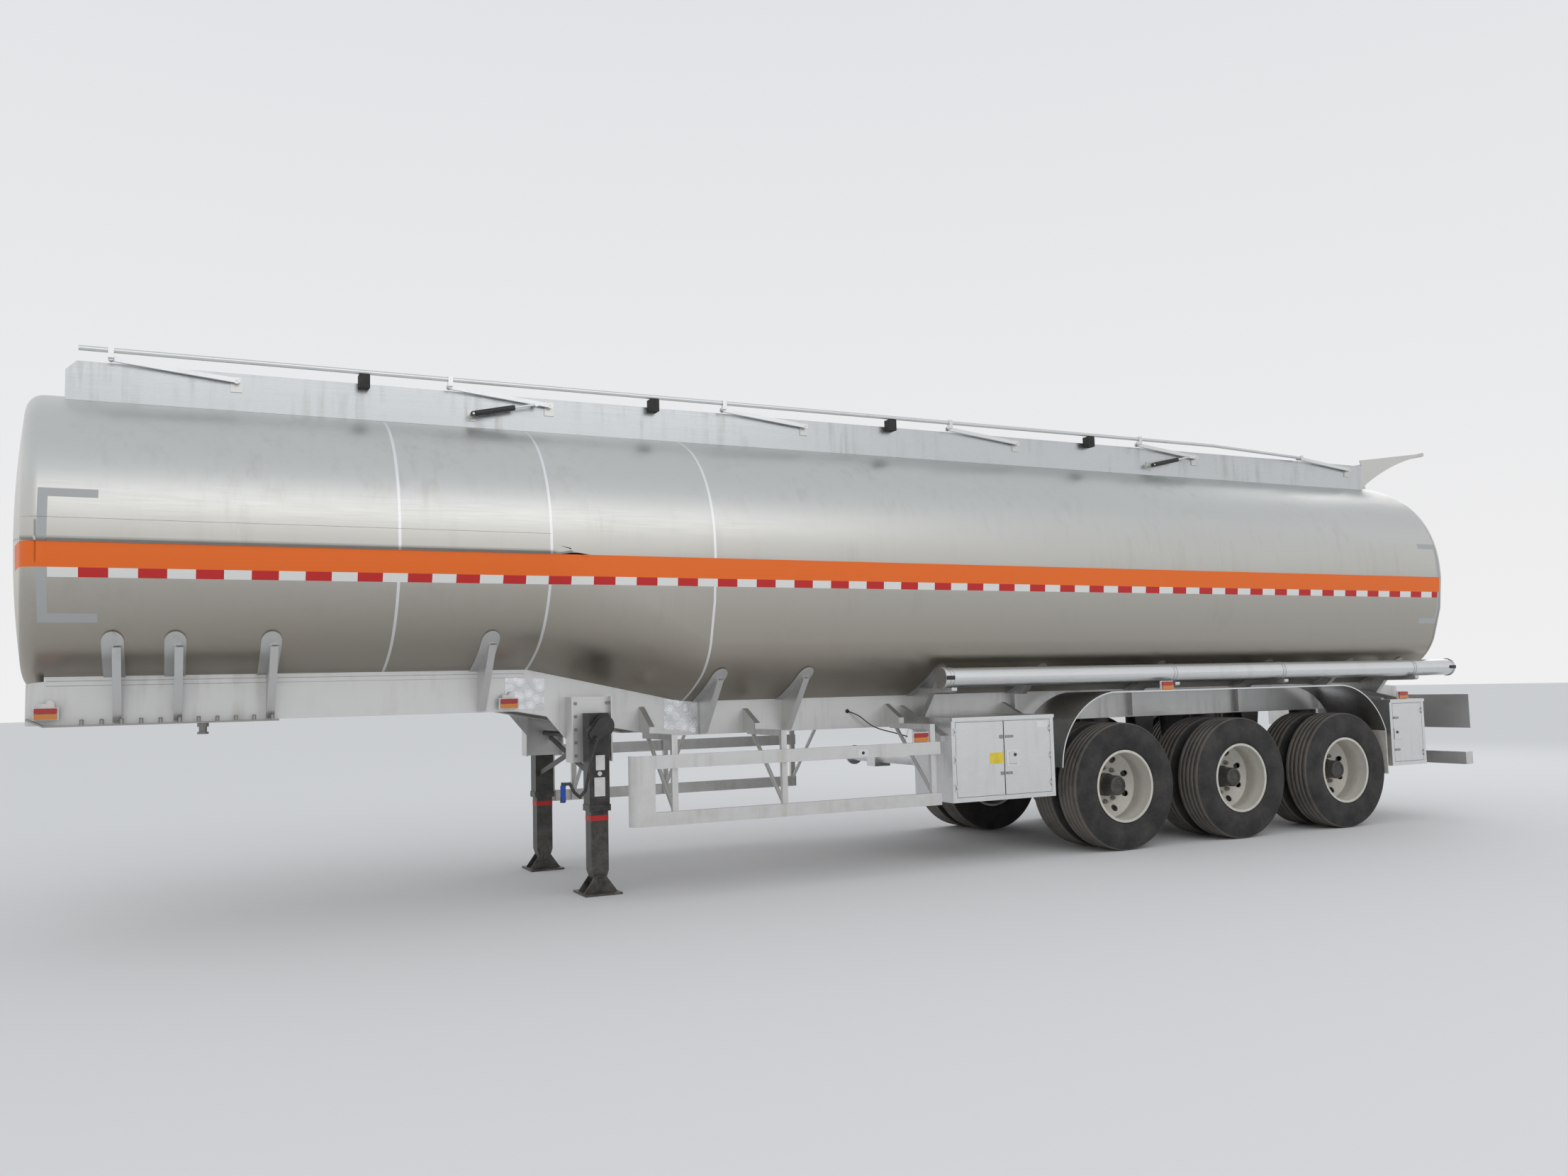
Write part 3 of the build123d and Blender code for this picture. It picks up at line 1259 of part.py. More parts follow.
def suspension():
    """Hangers, trailing arms and air springs at each end of the axles."""
    pieces = []
    arm_y0, arm_y1 = beam_face_y - 105.0, beam_face_y - 5.0
    for x in axle_xs:
        pivot = (x + 480.0, 760.0)
        hanger = [prism_y([(pivot[0] - 110.0, beam_rear_z), (pivot[0] - 60.0, 700.0), (pivot[0] + 60.0, 700.0),
                           (pivot[0] + 110.0, beam_rear_z)], y, y + 10.0) for y in (arm_y0 - 12.0, arm_y1 + 2.0)]
        seat = axle_z + axle_tube_radius
        arm = prism_y([(pivot[0] + 50.0, 740.0), (pivot[0] + 30.0, 800.0), (x + 120.0, seat + 110.0),
                       (x - 120.0, seat + 110.0), (x - 300.0, 640.0), (x - 420.0, 640.0), (x - 420.0, 590.0),
                       (x - 200.0, seat - 15.0), (x - 70.0, seat - 25.0), (x + 70.0, seat - 25.0),
                       (x + 160.0, seat + 10.0)],
                      arm_y0, arm_y1)
        tube = rod((x, arm_y0 - 5.0, axle_z), (x, arm_y1 + 5.0, axle_z), axle_tube_radius)
        bolt = rod((pivot[0], arm_y0 - 20.0, 760.0), (pivot[0], arm_y1 + 20.0, 760.0), 15.0)
        bag_y = beam_face_y - 105.0
        bag = rod((x - 350.0, bag_y, 640.0), (x - 350.0, bag_y, beam_rear_z), 125.0)
        pieces.append(joined([arm - tube, bolt, bag] + hanger))
    return both_sides(pieces)


def bumper():
    """Lamp panel with a raised housing, and the underrun bar, on posts from the beams."""
    front = panel_x + panel_thickness / 2
    plate = block(front - panel_plate, front, -bumper_half_width, bumper_half_width, panel_bottom_z, panel_top_z)
    pieces = [plate]
    for side in (-1, 1):
        inner, outer = side * panel_housing_inner_y, side * panel_housing_outer_y
        y0, y1 = min(inner, outer), max(inner, outer)
        slope = panel_thickness - panel_plate
        base = Pos(front - panel_plate, (y0 + y1) / 2, (panel_housing_low_z + panel_housing_top_z) / 2)
        height = panel_housing_top_z - panel_housing_low_z
        pieces.append(base * loft([Plane.YZ * Rectangle(y1 - y0, height),
                                   Plane.YZ.offset(-slope) * Rectangle(y1 - y0 - 2 * slope, height - 2 * slope)]))
    bar = block(bumper_x - bumper_half, bumper_x + bumper_half, -bumper_half_width, bumper_half_width,
                bumper_bottom_z, bumper_top_z)
    posts = []
    for side in (-1, 1):
        y = side * (beam_face_y - 60.0)
        posts.append(block(front, beam_rear, y - 50.0, y + 50.0, bumper_bottom_z + 20.0, beam_rear_z + 110.0))
    return joined(pieces + [bar] + posts)


def marker_stations():
    """Side lamps: x, y of the holder's back, z of its middle."""
    return [(coupler_front - 101.0, beam_face_y + 62.0, 1357.0), (leg_x + 593.0, beam_face_y + 62.0, 1343.0),
            (guard_end + 160.0, guard_face_y - guard_tube + lamp_back, guard_top_z + lamp_half_height),
            (middle_axle_x + 810.0, mudguard_outer_y - 20.0, mudguard_edge_top_z + lamp_half_height),
            (rear_box_front - 230.0, rear_box_face_y - 26.0, rear_box_top_z + lamp_half_height)]


def lamp_holders():
    """White backs of the side lamps."""
    holders = []
    for x, y, z in marker_stations():
        back = y - lamp_back
        holder = block(x - lamp_half_length, x + lamp_half_length, back, y, z - lamp_half_height,
                       z + lamp_half_height)
        if y < coupler_half_width:
            top = z + lamp_half_height
            stem = block(x - 45.0, x + 45.0, back - 14.0, back, z - 10.0, top + 22.0)
            holder = joined([holder, stem, eye(x - 22.0, top + 20.0, 22.0, beam_face_y, back)])
        holders.append(holder)
    right = [mirrored(h) for h in holders]
    x, y, z = marker_stations()[-1]
    tube = rod((x - 50.0, -tube_y, tube_z), (x + 50.0, -tube_y, tube_z), tube_radius)
    right[-1] = right[-1] + (block(x - 10.0, x + 10.0, -y, lamp_back - y, z + lamp_half_height, tube_z) - tube)
    return holders + right


def lamp_lenses(upper):
    """Upper half of each side lamp is red, the lower half amber."""
    pieces = []
    for x, y, z in marker_stations():
        z0, z1 = (z + 2.0, z + lens_half_height) if upper else (z - lens_half_height, z - 2.0)
        pieces.append(block(x - lens_half_length, x + lens_half_length, y, y + lens_depth, z0, z1))
    return both_sides(pieces)


def tail_lamps():
    """Round red lamps on the rear panel's housings."""
    x = panel_x - panel_thickness / 2
    return [rod((x, side * y, tail_lamp_z), (x - tail_lamp_depth, side * y, tail_lamp_z), tail_lamp_radius)
            for side in (-1, 1) for y in tail_lamp_y]


def discharge_pipes(tank):
    """Drop pipe and outlet on the right side, with a flanged open mouth."""
    x = toolbox_rear + 500.0
    down = rod((x, 0, 700.0), (x, 0, tank_axis_z), 54.0) - tank
    across = rod((x, 54.0, 754.0), (x, -toolbox_face_y + 90.0, 754.0), 54.0)
    flange = rod((x, -toolbox_face_y + 90.0, 754.0), (x, -toolbox_face_y + 70.0, 754.0), 90.0)
    valve = Pos(x, -700.0, 754.0) * Box(160.0, 150.0, 170.0)
    mouth = rod((x, -toolbox_face_y + 60.0, 754.0), (x, -760.0, 754.0), 48.0)
    return joined([down, across, flange, valve]) - mouth


def build():
    """Make every piece and write it."""
    os.makedirs("parts", exist_ok=True)
    tank = tank_barrel()
    grown = joined(skin_solid(saddle_pad))
    save("tank_barrel", tank)
    save("front_head", head(front_seam, front_lower_half, 1))
    rear_dish = head(rear_seam, rear_lower_half, -1)
    save("rear_head", rear_dish)
    save("coamings", coamings(tank))
    save("rail_pivots", rail_pivots())
    save("walkway_deck", walkway_deck(tank))
    save("manhole_collars", manhole_collars(tank))
    for i, x in enumerate(manhole_x):
        save("manhole_lid_%d" % (i + 1), manhole_lid(x))
    for i, (lower, upper) in enumerate(arm_pivots()):
        save("rail_arm_%d" % (i + 1), rail_arm(lower, upper))
    save("handrail", handrail())
    save("rail_rests", rail_rests())
    for name, index in zip(("front", "rear"), strut_arms):
        save("strut_barrel_" + name, strut_barrel(index))
        save("strut_rod_" + name, strut_rod(index))
    save("grab_frame", grab_frame())
    save("ladder", ladder(rear_dish))
    save("main_beams", main_beams(tank))
    save("saddles", saddles(tank, grown))
    save("coupler_plate", coupler_plate())
    save("kingpin", kingpin())
    save("landing_legs", landing_legs())
    save("landing_feet", landing_feet())
    save("landing_gearing", landing_gearing())
    save("side_guards", both_sides([side_guard()]))
    save("toolbox", toolbox())
    save("toolbox_door_front", toolbox_door(True))
    save("toolbox_door_rear", toolbox_door(False))
    save("rear_box", rear_box())
    save("rear_box_door", rear_box_door())
    save("mudguards", both_sides([mudguard()]))
    save("mud_flaps", mud_flaps())
    save("hose_tubes", hose_tubes())
    save("tube_brackets", tube_brackets())
    save("axles", axles())
    save("suspension", suspension())
    save("bumper", bumper())
    save("lamp_holders", lamp_holders())
    save("amber_lenses", lamp_lenses(False))
    save("red_lenses", lamp_lenses(True) + tail_lamps())
    save("discharge_pipes", discharge_pipes(tank))
    for side, sign in (("left", 1), ("right", -1)):
        for i, x in enumerate(axle_xs):
            save("tyres_%s_%d" % (side, i + 1), tyres(x, sign))
            save("wheels_%s_%d" % (side, i + 1), twin_rims(x, sign))


build()
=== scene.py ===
import json
import math
import bpy
import numpy as np
from mathutils import Matrix, Vector


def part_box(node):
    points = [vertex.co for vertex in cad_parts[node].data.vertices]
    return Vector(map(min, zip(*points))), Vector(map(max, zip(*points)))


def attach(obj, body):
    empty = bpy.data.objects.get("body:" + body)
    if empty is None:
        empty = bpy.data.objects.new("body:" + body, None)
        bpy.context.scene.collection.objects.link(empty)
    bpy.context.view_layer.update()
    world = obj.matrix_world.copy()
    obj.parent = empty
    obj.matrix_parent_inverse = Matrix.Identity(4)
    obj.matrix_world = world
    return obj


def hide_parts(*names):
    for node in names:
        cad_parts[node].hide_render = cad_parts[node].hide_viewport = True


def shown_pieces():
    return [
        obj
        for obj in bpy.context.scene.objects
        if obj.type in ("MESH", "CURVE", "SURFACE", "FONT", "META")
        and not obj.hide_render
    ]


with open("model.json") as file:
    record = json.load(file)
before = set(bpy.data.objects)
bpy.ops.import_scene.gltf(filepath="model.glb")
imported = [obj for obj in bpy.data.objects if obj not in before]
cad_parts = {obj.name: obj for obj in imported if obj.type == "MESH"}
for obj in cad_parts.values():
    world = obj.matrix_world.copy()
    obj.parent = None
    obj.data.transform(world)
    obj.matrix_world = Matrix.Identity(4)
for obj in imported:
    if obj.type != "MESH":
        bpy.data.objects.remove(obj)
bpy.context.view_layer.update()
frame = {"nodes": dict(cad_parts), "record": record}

nodes = frame["nodes"]
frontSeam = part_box("tank_barrel")[1].x
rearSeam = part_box("tank_barrel")[0].x
print("frame loaded")


def newMesh(name, verts, faces, body, slot, smooth=True, replaces=()):
    # one object at the origin, on its body, in the material slot that its look belongs to
    mesh = bpy.data.meshes.new(name)
    mesh.from_pydata(np.asarray(verts, float).reshape(-1, 3).tolist(), [], faces)
    mesh.polygons.foreach_set("use_smooth", np.full(len(mesh.polygons), smooth))
    mesh.update()
    piece = bpy.data.objects.new(name, mesh)
    bpy.context.scene.collection.objects.link(piece)
    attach(piece, body)
    piece["look"] = slot
    if replaces:
        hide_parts(*replaces)
    return piece


def gridFaces(rows, cols, wrap=False, flip=False, first=0):
    # quads between neighbouring rows and columns of a grid of points
    r = np.arange(rows - 1)[:, None]
    c = np.arange(cols if wrap else cols - 1)[None, :]
    a = r * cols + c
    b = r * cols + (c + 1) % cols
    quads = np.stack([a, b, b + cols, a + cols], -1).reshape(-1, 4) + first
    return (quads[:, ::-1] if flip else quads).tolist()


def outwards(verts, faces):
    # a closed form's faces are turned when its signed volume, the sum of corner products, is below nothing
    total = 0.0
    for f in faces:
        a = verts[f[0]]
        for i in range(1, len(f) - 1):
            total += float(np.dot(a, np.cross(verts[f[i]], verts[f[i + 1]])))
    return faces if total >= 0 else [f[::-1] for f in faces]


class Pile:
    # gathers closed forms and grids of points into one mesh
    def __init__(self):
        self.verts, self.faces, self.count = [], [], 0

    def add(self, verts, faces, closed=True):
        verts = np.asarray(verts, float).reshape(-1, 3)
        if closed:
            middle = verts.mean(0)
            faces = outwards(verts - middle, faces)
        self.faces += [[i + self.count for i in f] for f in faces]
        self.verts.append(verts)
        self.count += len(verts)

    def grid(self, points, wrap=False, flip=False):
        # an open sheet, turned as its maker says
        self.add(points.reshape(-1, 3), gridFaces(points.shape[0], points.shape[1], wrap, flip), closed=False)

    def slab(self, low, high, edge=0.002):
        # a box between two corners with every edge cut back
        low, high = np.asarray(low, float), np.asarray(high, float)
        edge = min(edge, float((high - low).min()) * 0.45)
        verts, index = [], {}
        for k in range(8):
            sign = [(k >> i) & 1 for i in range(3)]
            corner = np.array([high[i] if sign[i] else low[i] for i in range(3)])
            for axis in range(3):
                p = corner.copy()
                for other in range(3):
                    if other != axis:
                        p[other] += -edge if sign[other] else edge
                index[k, axis] = len(verts)
                verts.append(p)
        verts = np.array(verts)
        middle = (low + high) / 2
        faces = [[index[k, 0], index[k, 1], index[k, 2]] for k in range(8)]
        for axis in range(3):
            u, v = [a for a in range(3) if a != axis]
            for side in (0, 1):
                ring = [(0, 0), (1, 0), (1, 1), (0, 1)]
                faces.append([index[(side << axis) | (a << u) | (b << v), axis] for a, b in ring])
            for a in (0, 1):
                for b in (0, 1):
                    k0 = (a << u) | (b << v)
                    k1 = k0 | (1 << axis)
                    faces.append([index[k0, u], index[k1, u], index[k1, v], index[k0, v]])
        turned = []
        for f in faces:
            p = verts[f]
            normal = np.cross(p[1] - p[0], p[2] - p[0])
            turned.append(f if np.dot(normal, p.mean(0) - middle) > 0 else f[::-1])
        self.add(verts, turned, closed=False)

    def lathe(self, profile, centre, axis=1, around=32):
        # (along, radius) points turned about an axis through centre, closed from the last point to the first
        profile = np.asarray(profile, float)
        turn = np.linspace(0, 2 * math.pi, around, endpoint=False)
        u, v = [a for a in range(3) if a != axis]
        points = np.zeros((around, len(profile), 3))
        points[..., axis] = profile[None, :, 0]
        points[..., u] = profile[None, :, 1] * np.cos(turn)[:, None]
        points[..., v] = profile[None, :, 1] * np.sin(turn)[:, None]
        points += np.asarray(centre, float)
        n, cols = len(profile), around
        faces, ids = [], []
        verts = []
        for j in range(n):
            if profile[j, 1] < 1e-9:
                ids.append([len(verts)] * cols)
                verts.append(points[0, j])
            else:
                ids.append(list(range(len(verts), len(verts) + cols)))
                verts += list(points[:, j])
        for j in range(n):
            k = (j + 1) % n
            if profile[j, 1] < 1e-9 and profile[k, 1] < 1e-9:
                continue
            for i in range(cols):
                m = (i + 1) % cols
                quad = [ids[j][i], ids[j][m], ids[k][m], ids[k][i]]
                face = [q for t, q in enumerate(quad) if q not in quad[:t]]
                faces.append(face)
        self.add(np.array(verts), faces)

    def tube(self, points, radius, sides=12):
        # a round bar along points, its rings turned to the bisecting planes, its ends closed
        points = [np.asarray(p, float) for p in points]
        ahead = [points[min(i + 1, len(points) - 1)] - points[max(i - 1, 0)] for i in range(len(points))]
        up = np.array([0.0, 0.0, 1.0]) if abs(ahead[0][2]) < 0.9 * np.linalg.norm(ahead[0]) else np.array([0, 1.0, 0])
        turn = np.linspace(0, 2 * math.pi, sides, endpoint=False)[:, None]
        rings = []
        for p, d in zip(points, ahead):
            d = d / np.linalg.norm(d)
            side = np.cross(up, d)
            side /= np.linalg.norm(side)
            up = np.cross(d, side)
            rings.append(p + radius * (np.cos(turn) * side + np.sin(turn) * up))
        verts = np.concatenate(rings)
        faces = gridFaces(len(rings), sides, True)
        faces += [list(range(sides))[::-1], list(range(len(verts) - sides, len(verts)))]
        self.add(verts, faces)

    def plate(self, outline, y0, y1):
        # an outline of (x, z) points between two y planes
        n = len(outline)
        verts = [(x, y, z) for y in (y0, y1) for x, z in outline]
        faces = [[i, (i + 1) % n, n + (i + 1) % n, n + i] for i in range(n)]
        faces += [list(range(n)), list(range(n, 2 * n))[::-1]]
        self.add(verts, faces)

    def piece(self, name, body, slot, smooth=True, replaces=()):
        # everything gathered so far as one object
        return newMesh(name, np.concatenate(self.verts), self.faces, body, slot, smooth, replaces)


def sharpen(piece, degrees=35.0):
    # edges where two faces meet at more than the angle are drawn sharp
    piece.data.set_sharp_from_angle(angle=math.radians(degrees))
    return piece


# The tank: a section of crown, corner and side arcs, swept straight, down a ruled slope and straight again

tank = {
    "axisZ": 2.330, "halfWidth": 1.250,
    "upper": (1.063, 1.600, 1.600, 0.900),
    "frontLower": (0.837, 1.800, 1.600, 0.800),
    "rearLower": (1.0945, 1.800, 1.600, 0.500),
    "bellyFront": frontSeam - 2.947, "bellyRear": frontSeam - 4.127,
    "headDepth": 0.203, "crownRadius": 6.0, "knuckle": 0.090,
    "inset": 0.0008, "step": 0.035,
}


def quarter(half, grow, counts):
    # points from crown to side: centres of the arcs meet where the circles' radii differ by the corner's
    height, crown, side, corner = half
    crownZ, sideY = height - crown, tank["halfWidth"] - side
    across = math.hypot(sideY, crownZ)
    toCrown, toSide = crown - corner, side - corner
    along = (toCrown ** 2 - toSide ** 2 + across ** 2) / (2 * across)
    off = math.sqrt(toCrown ** 2 - along ** 2)
    uy, uz = sideY / across, -crownZ / across
    cy, cz = along * uy + off * uz, crownZ + along * uz - off * uy
    topDir, sideDir = math.atan2(cz - crownZ, cy), math.atan2(cz, cy - sideY)
    lengths = (crown * (math.pi / 2 - topDir), corner * (topDir - sideDir), side * sideDir)
    counts = counts or [max(2, round(length / tank["step"])) for length in lengths]
    a = np.linspace(math.pi / 2, topDir, counts[0], endpoint=False)
    b = np.linspace(topDir, sideDir, counts[1], endpoint=False)
    c = np.linspace(sideDir, 0, counts[2] + 1)
    y = [(crown + grow) * np.cos(a), cy + (corner + grow) * np.cos(b), sideY + (side + grow) * np.cos(c)]
    z = [crownZ + (crown + grow) * np.sin(a), cz + (corner + grow) * np.sin(b), (side + grow) * np.sin(c)]
    return np.stack([np.concatenate(y), np.concatenate(z)], -1), counts


def sectionRing(lower, grow=0.0):
    # the whole section as a closed ring of (y, z), from the crown towards +Y, its points about a step apart
    up = quarter(tank["upper"], grow, None)[0]
    counts = quarter(tank["frontLower"], grow, None)[1]
    down = quarter(lower, grow, counts)[0]
    right = np.concatenate([up, (down[::-1] * [1, -1])[1:]])
    left = right[1:-1][::-1] * [-1, 1]
    ring = np.concatenate([right, left])
    return ring + [0, tank["axisZ"]]


def ringAt(x, grow=0.0):
    # the lower half's height and radii go straight from the front's to the rear's along the slope
    share = min(max((tank["bellyFront"] - x) / (tank["bellyFront"] - tank["bellyRear"]), 0), 1)
    lower = [a * (1 - share) + b * share for a, b in zip(tank["frontLower"], tank["rearLower"])]
    ring = sectionRing(lower, grow)
    return np.column_stack([np.full(len(ring), x), ring])


def tankShell():
    # rings along the straight front, the slope and the straight rear, each a grid of its own with a crease between
    pile = Pile()
    for x0, x1, cuts in ((frontSeam, tank["bellyFront"], 12), (tank["bellyFront"], tank["bellyRear"], 10),
                         (tank["bellyRear"], rearSeam, 24)):
        rings = np.stack([ringAt(x, -tank["inset"]) for x in np.linspace(x0, x1, cuts)])
        pile.grid(rings, wrap=True)
    return pile.piece("tankShell", "trailer", "tank_metal", replaces=("tank_barrel",))


def dishedHead(name, seam, forward, lower, node):
    # a dome of one radius, turned down at its rim by a quarter circle that ends on the seam's outline
    ring = sectionRing(lower, -tank["inset"])
    middle = np.array([0, tank["axisZ"] + (tank["upper"][0] - lower[0]) / 2])
    spokes = ring - middle
    reach = np.linalg.norm(spokes, axis=1)
    k, depth, big = tank["knuckle"], tank["headDepth"] - tank["inset"], tank["crownRadius"]

    def domeX(r):
        return depth - (big - np.sqrt(big ** 2 - r ** 2))
    rows = [np.column_stack([np.zeros(len(ring)), ring])]
    edge = domeX(reach - k) - k
    rows.append(np.column_stack([edge, ring]))
    for turn in np.linspace(0, math.pi / 2, 9)[1:]:
        inward = k * (1 - math.cos(turn))
        rows.append(np.column_stack([edge + k * math.sin(turn), middle + spokes * (1 - inward / reach)[:, None]]))
    for share in np.linspace(0, 1, 14)[1:-1]:
        r = (reach - k) * (1 - share)
        rows.append(np.column_stack([domeX(r), middle + spokes * (r / reach)[:, None]]))
    tip = np.array([[depth, *middle]])
    rows = np.stack(rows)
    verts = np.concatenate([rows.reshape(-1, 3), tip])
    verts[:, 0] = seam + forward * verts[:, 0]
    faces = gridFaces(rows.shape[0], rows.shape[1], True, forward > 0)
    last, n = (rows.shape[0] - 1) * rows.shape[1], rows.shape[1]
    fan = [[last + i, last + (i + 1) % n, len(verts) - 1] for i in range(n)]
    faces += [f[::-1] for f in fan] if forward > 0 else fan
    return newMesh(name, verts, faces, "trailer", "tank_metal", True, (node,))


tankShell()
dishedHead("frontDish", frontSeam, 1, tank["frontLower"], "front_head")
dishedHead("rearDish", rearSeam, -1, tank["rearLower"], "rear_head")
print("tank made")

# Tyres: a tread band with grooves between two rounded sidewalls

tyre = {
    "radius": 0.525, "half": 0.135, "bead": 0.2862, "tread": 0.106, "ribs": (-0.068, -0.024, 0.024, 0.068),
    "grooveWidth": 0.0055, "grooveDepth": 0.013, "around": 96,
}


def tyreProfile():
    # (across, radius) from one bead over the tread to the other
    side = [(-0.105, tyre["bead"]), (-0.106, 0.300), (-0.112, 0.303), (-0.1135, 0.309), (-0.118, 0.312),
            (-0.1245, 0.335), (-0.131, 0.368), (-0.1325, 0.372), (-0.1345, 0.405), (-0.1335, 0.440),
            (-0.1325, 0.444), (-0.1290, 0.468), (-0.1215, 0.492), (-0.1165, 0.507), (-0.1145, 0.5135),
            (-0.1095, 0.5205)]
    tread = [(-tyre["tread"], 0.5225)]
    for x in tyre["ribs"]:
        w = tyre["grooveWidth"]
        top = tyre["radius"] - 0.0025 * abs(x / tyre["tread"]) ** 2
        deep = top - tyre["grooveDepth"]
        tread += [(x - w, top), (x - w * 0.7, deep), (x + w * 0.7, deep), (x + w, top)]
    tread += [(tyre["tread"], 0.5225)]
    return np.array(side + tread + [(-a, r) for a, r in side[::-1]])


def tyrePair(side, index):
    # both tyres of a twin pair: the profile turned about the axle, half a tyre in from each end of the CAD pair
    node = "tyres_%s_%d" % (side, index)
    low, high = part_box(node)
    pile = Pile()
    for y in (low.y + tyre["half"], high.y - tyre["half"]):
        pile.lathe(tyreProfile(), ((low.x + high.x) / 2, y, tyre["radius"]), around=tyre["around"])
    return pile.piece("tyrePair_%s_%d" % (side, index), "twin_wheel_%s_%d" % (side, index), "tyre_rubber",
                      replaces=(node,))


# Wheels: two stepped rims, two coned discs with round holes, a hub with its nuts and ring cap

wheel = {
    "plane": 0.930, "offset": 0.165, "half": 0.117, "wall": 0.27575, "seat": 0.2855, "flange": 0.2985, "lip": 0.012,
    "flat": 0.175, "bore": 0.085, "thick": 0.011, "holes": 8, "holeRadius": 0.027, "holeCircle": 0.218,
    "nuts": 10, "nutCircle": 0.1425, "cap": 0.082, "capEnd": 1.1246,
}


def discHeight(r):
    # the disc is flat out to its bend and then a cone up to the rim
    rise = wheel["plane"] + wheel["offset"] - wheel["half"] + 0.012 - wheel["plane"]
    return rise * np.clip((r - wheel["flat"]) / (wheel["wall"] + 0.002 - wheel["flat"]), 0, 1)


def holedDisc(pile, x, z, place):
    # each sector is a fan of quads from a round hole to the sector's outline, on the disc's cone
    inner, outer, per = 0.150, wheel["wall"] + 0.001, 12
    for s in range(wheel["holes"]):
        a0, a1 = 2 * math.pi * s / wheel["holes"], 2 * math.pi * (s + 1) / wheel["holes"]
        mid = (a0 + a1) / 2
        t = np.linspace(0, 1, per, endpoint=False)
        edge = [np.column_stack([np.full(per, inner), a0 + (a1 - a0) * t]),
                np.column_stack([inner + (outer - inner) * t, np.full(per, a1)]),
                np.column_stack([np.full(per, outer), a1 - (a1 - a0) * t]),
                np.column_stack([outer - (outer - inner) * t, np.full(per, a0)])]
        edge = np.concatenate(edge)
        flat = np.column_stack([edge[:, 0] * np.cos(edge[:, 1]), edge[:, 0] * np.sin(edge[:, 1])])
        hole = np.array([wheel["holeCircle"] * math.cos(mid), wheel["holeCircle"] * math.sin(mid)])
        away = flat - hole
        unit = away / np.linalg.norm(away, axis=1)[:, None]
        rows = []
        for share in (1.0, 0.6, 0.25, 0.0):
            rows.append(hole + unit * wheel["holeRadius"] + (away - unit * wheel["holeRadius"]) * share)
        front = [(r, discHeight(np.linalg.norm(r, axis=1)) + wheel["thick"]) for r in rows]
        back = [(r, discHeight(np.linalg.norm(r, axis=1))) for r in rows[::-1]]
        points = np.stack([np.column_stack([x + p[:, 0], place(h), z + p[:, 1]]) for p, h in front + back])
        points = np.concatenate([points, points[:1]])
        pile.add(points.reshape(-1, 3), gridFaces(points.shape[0], points.shape[1], True))


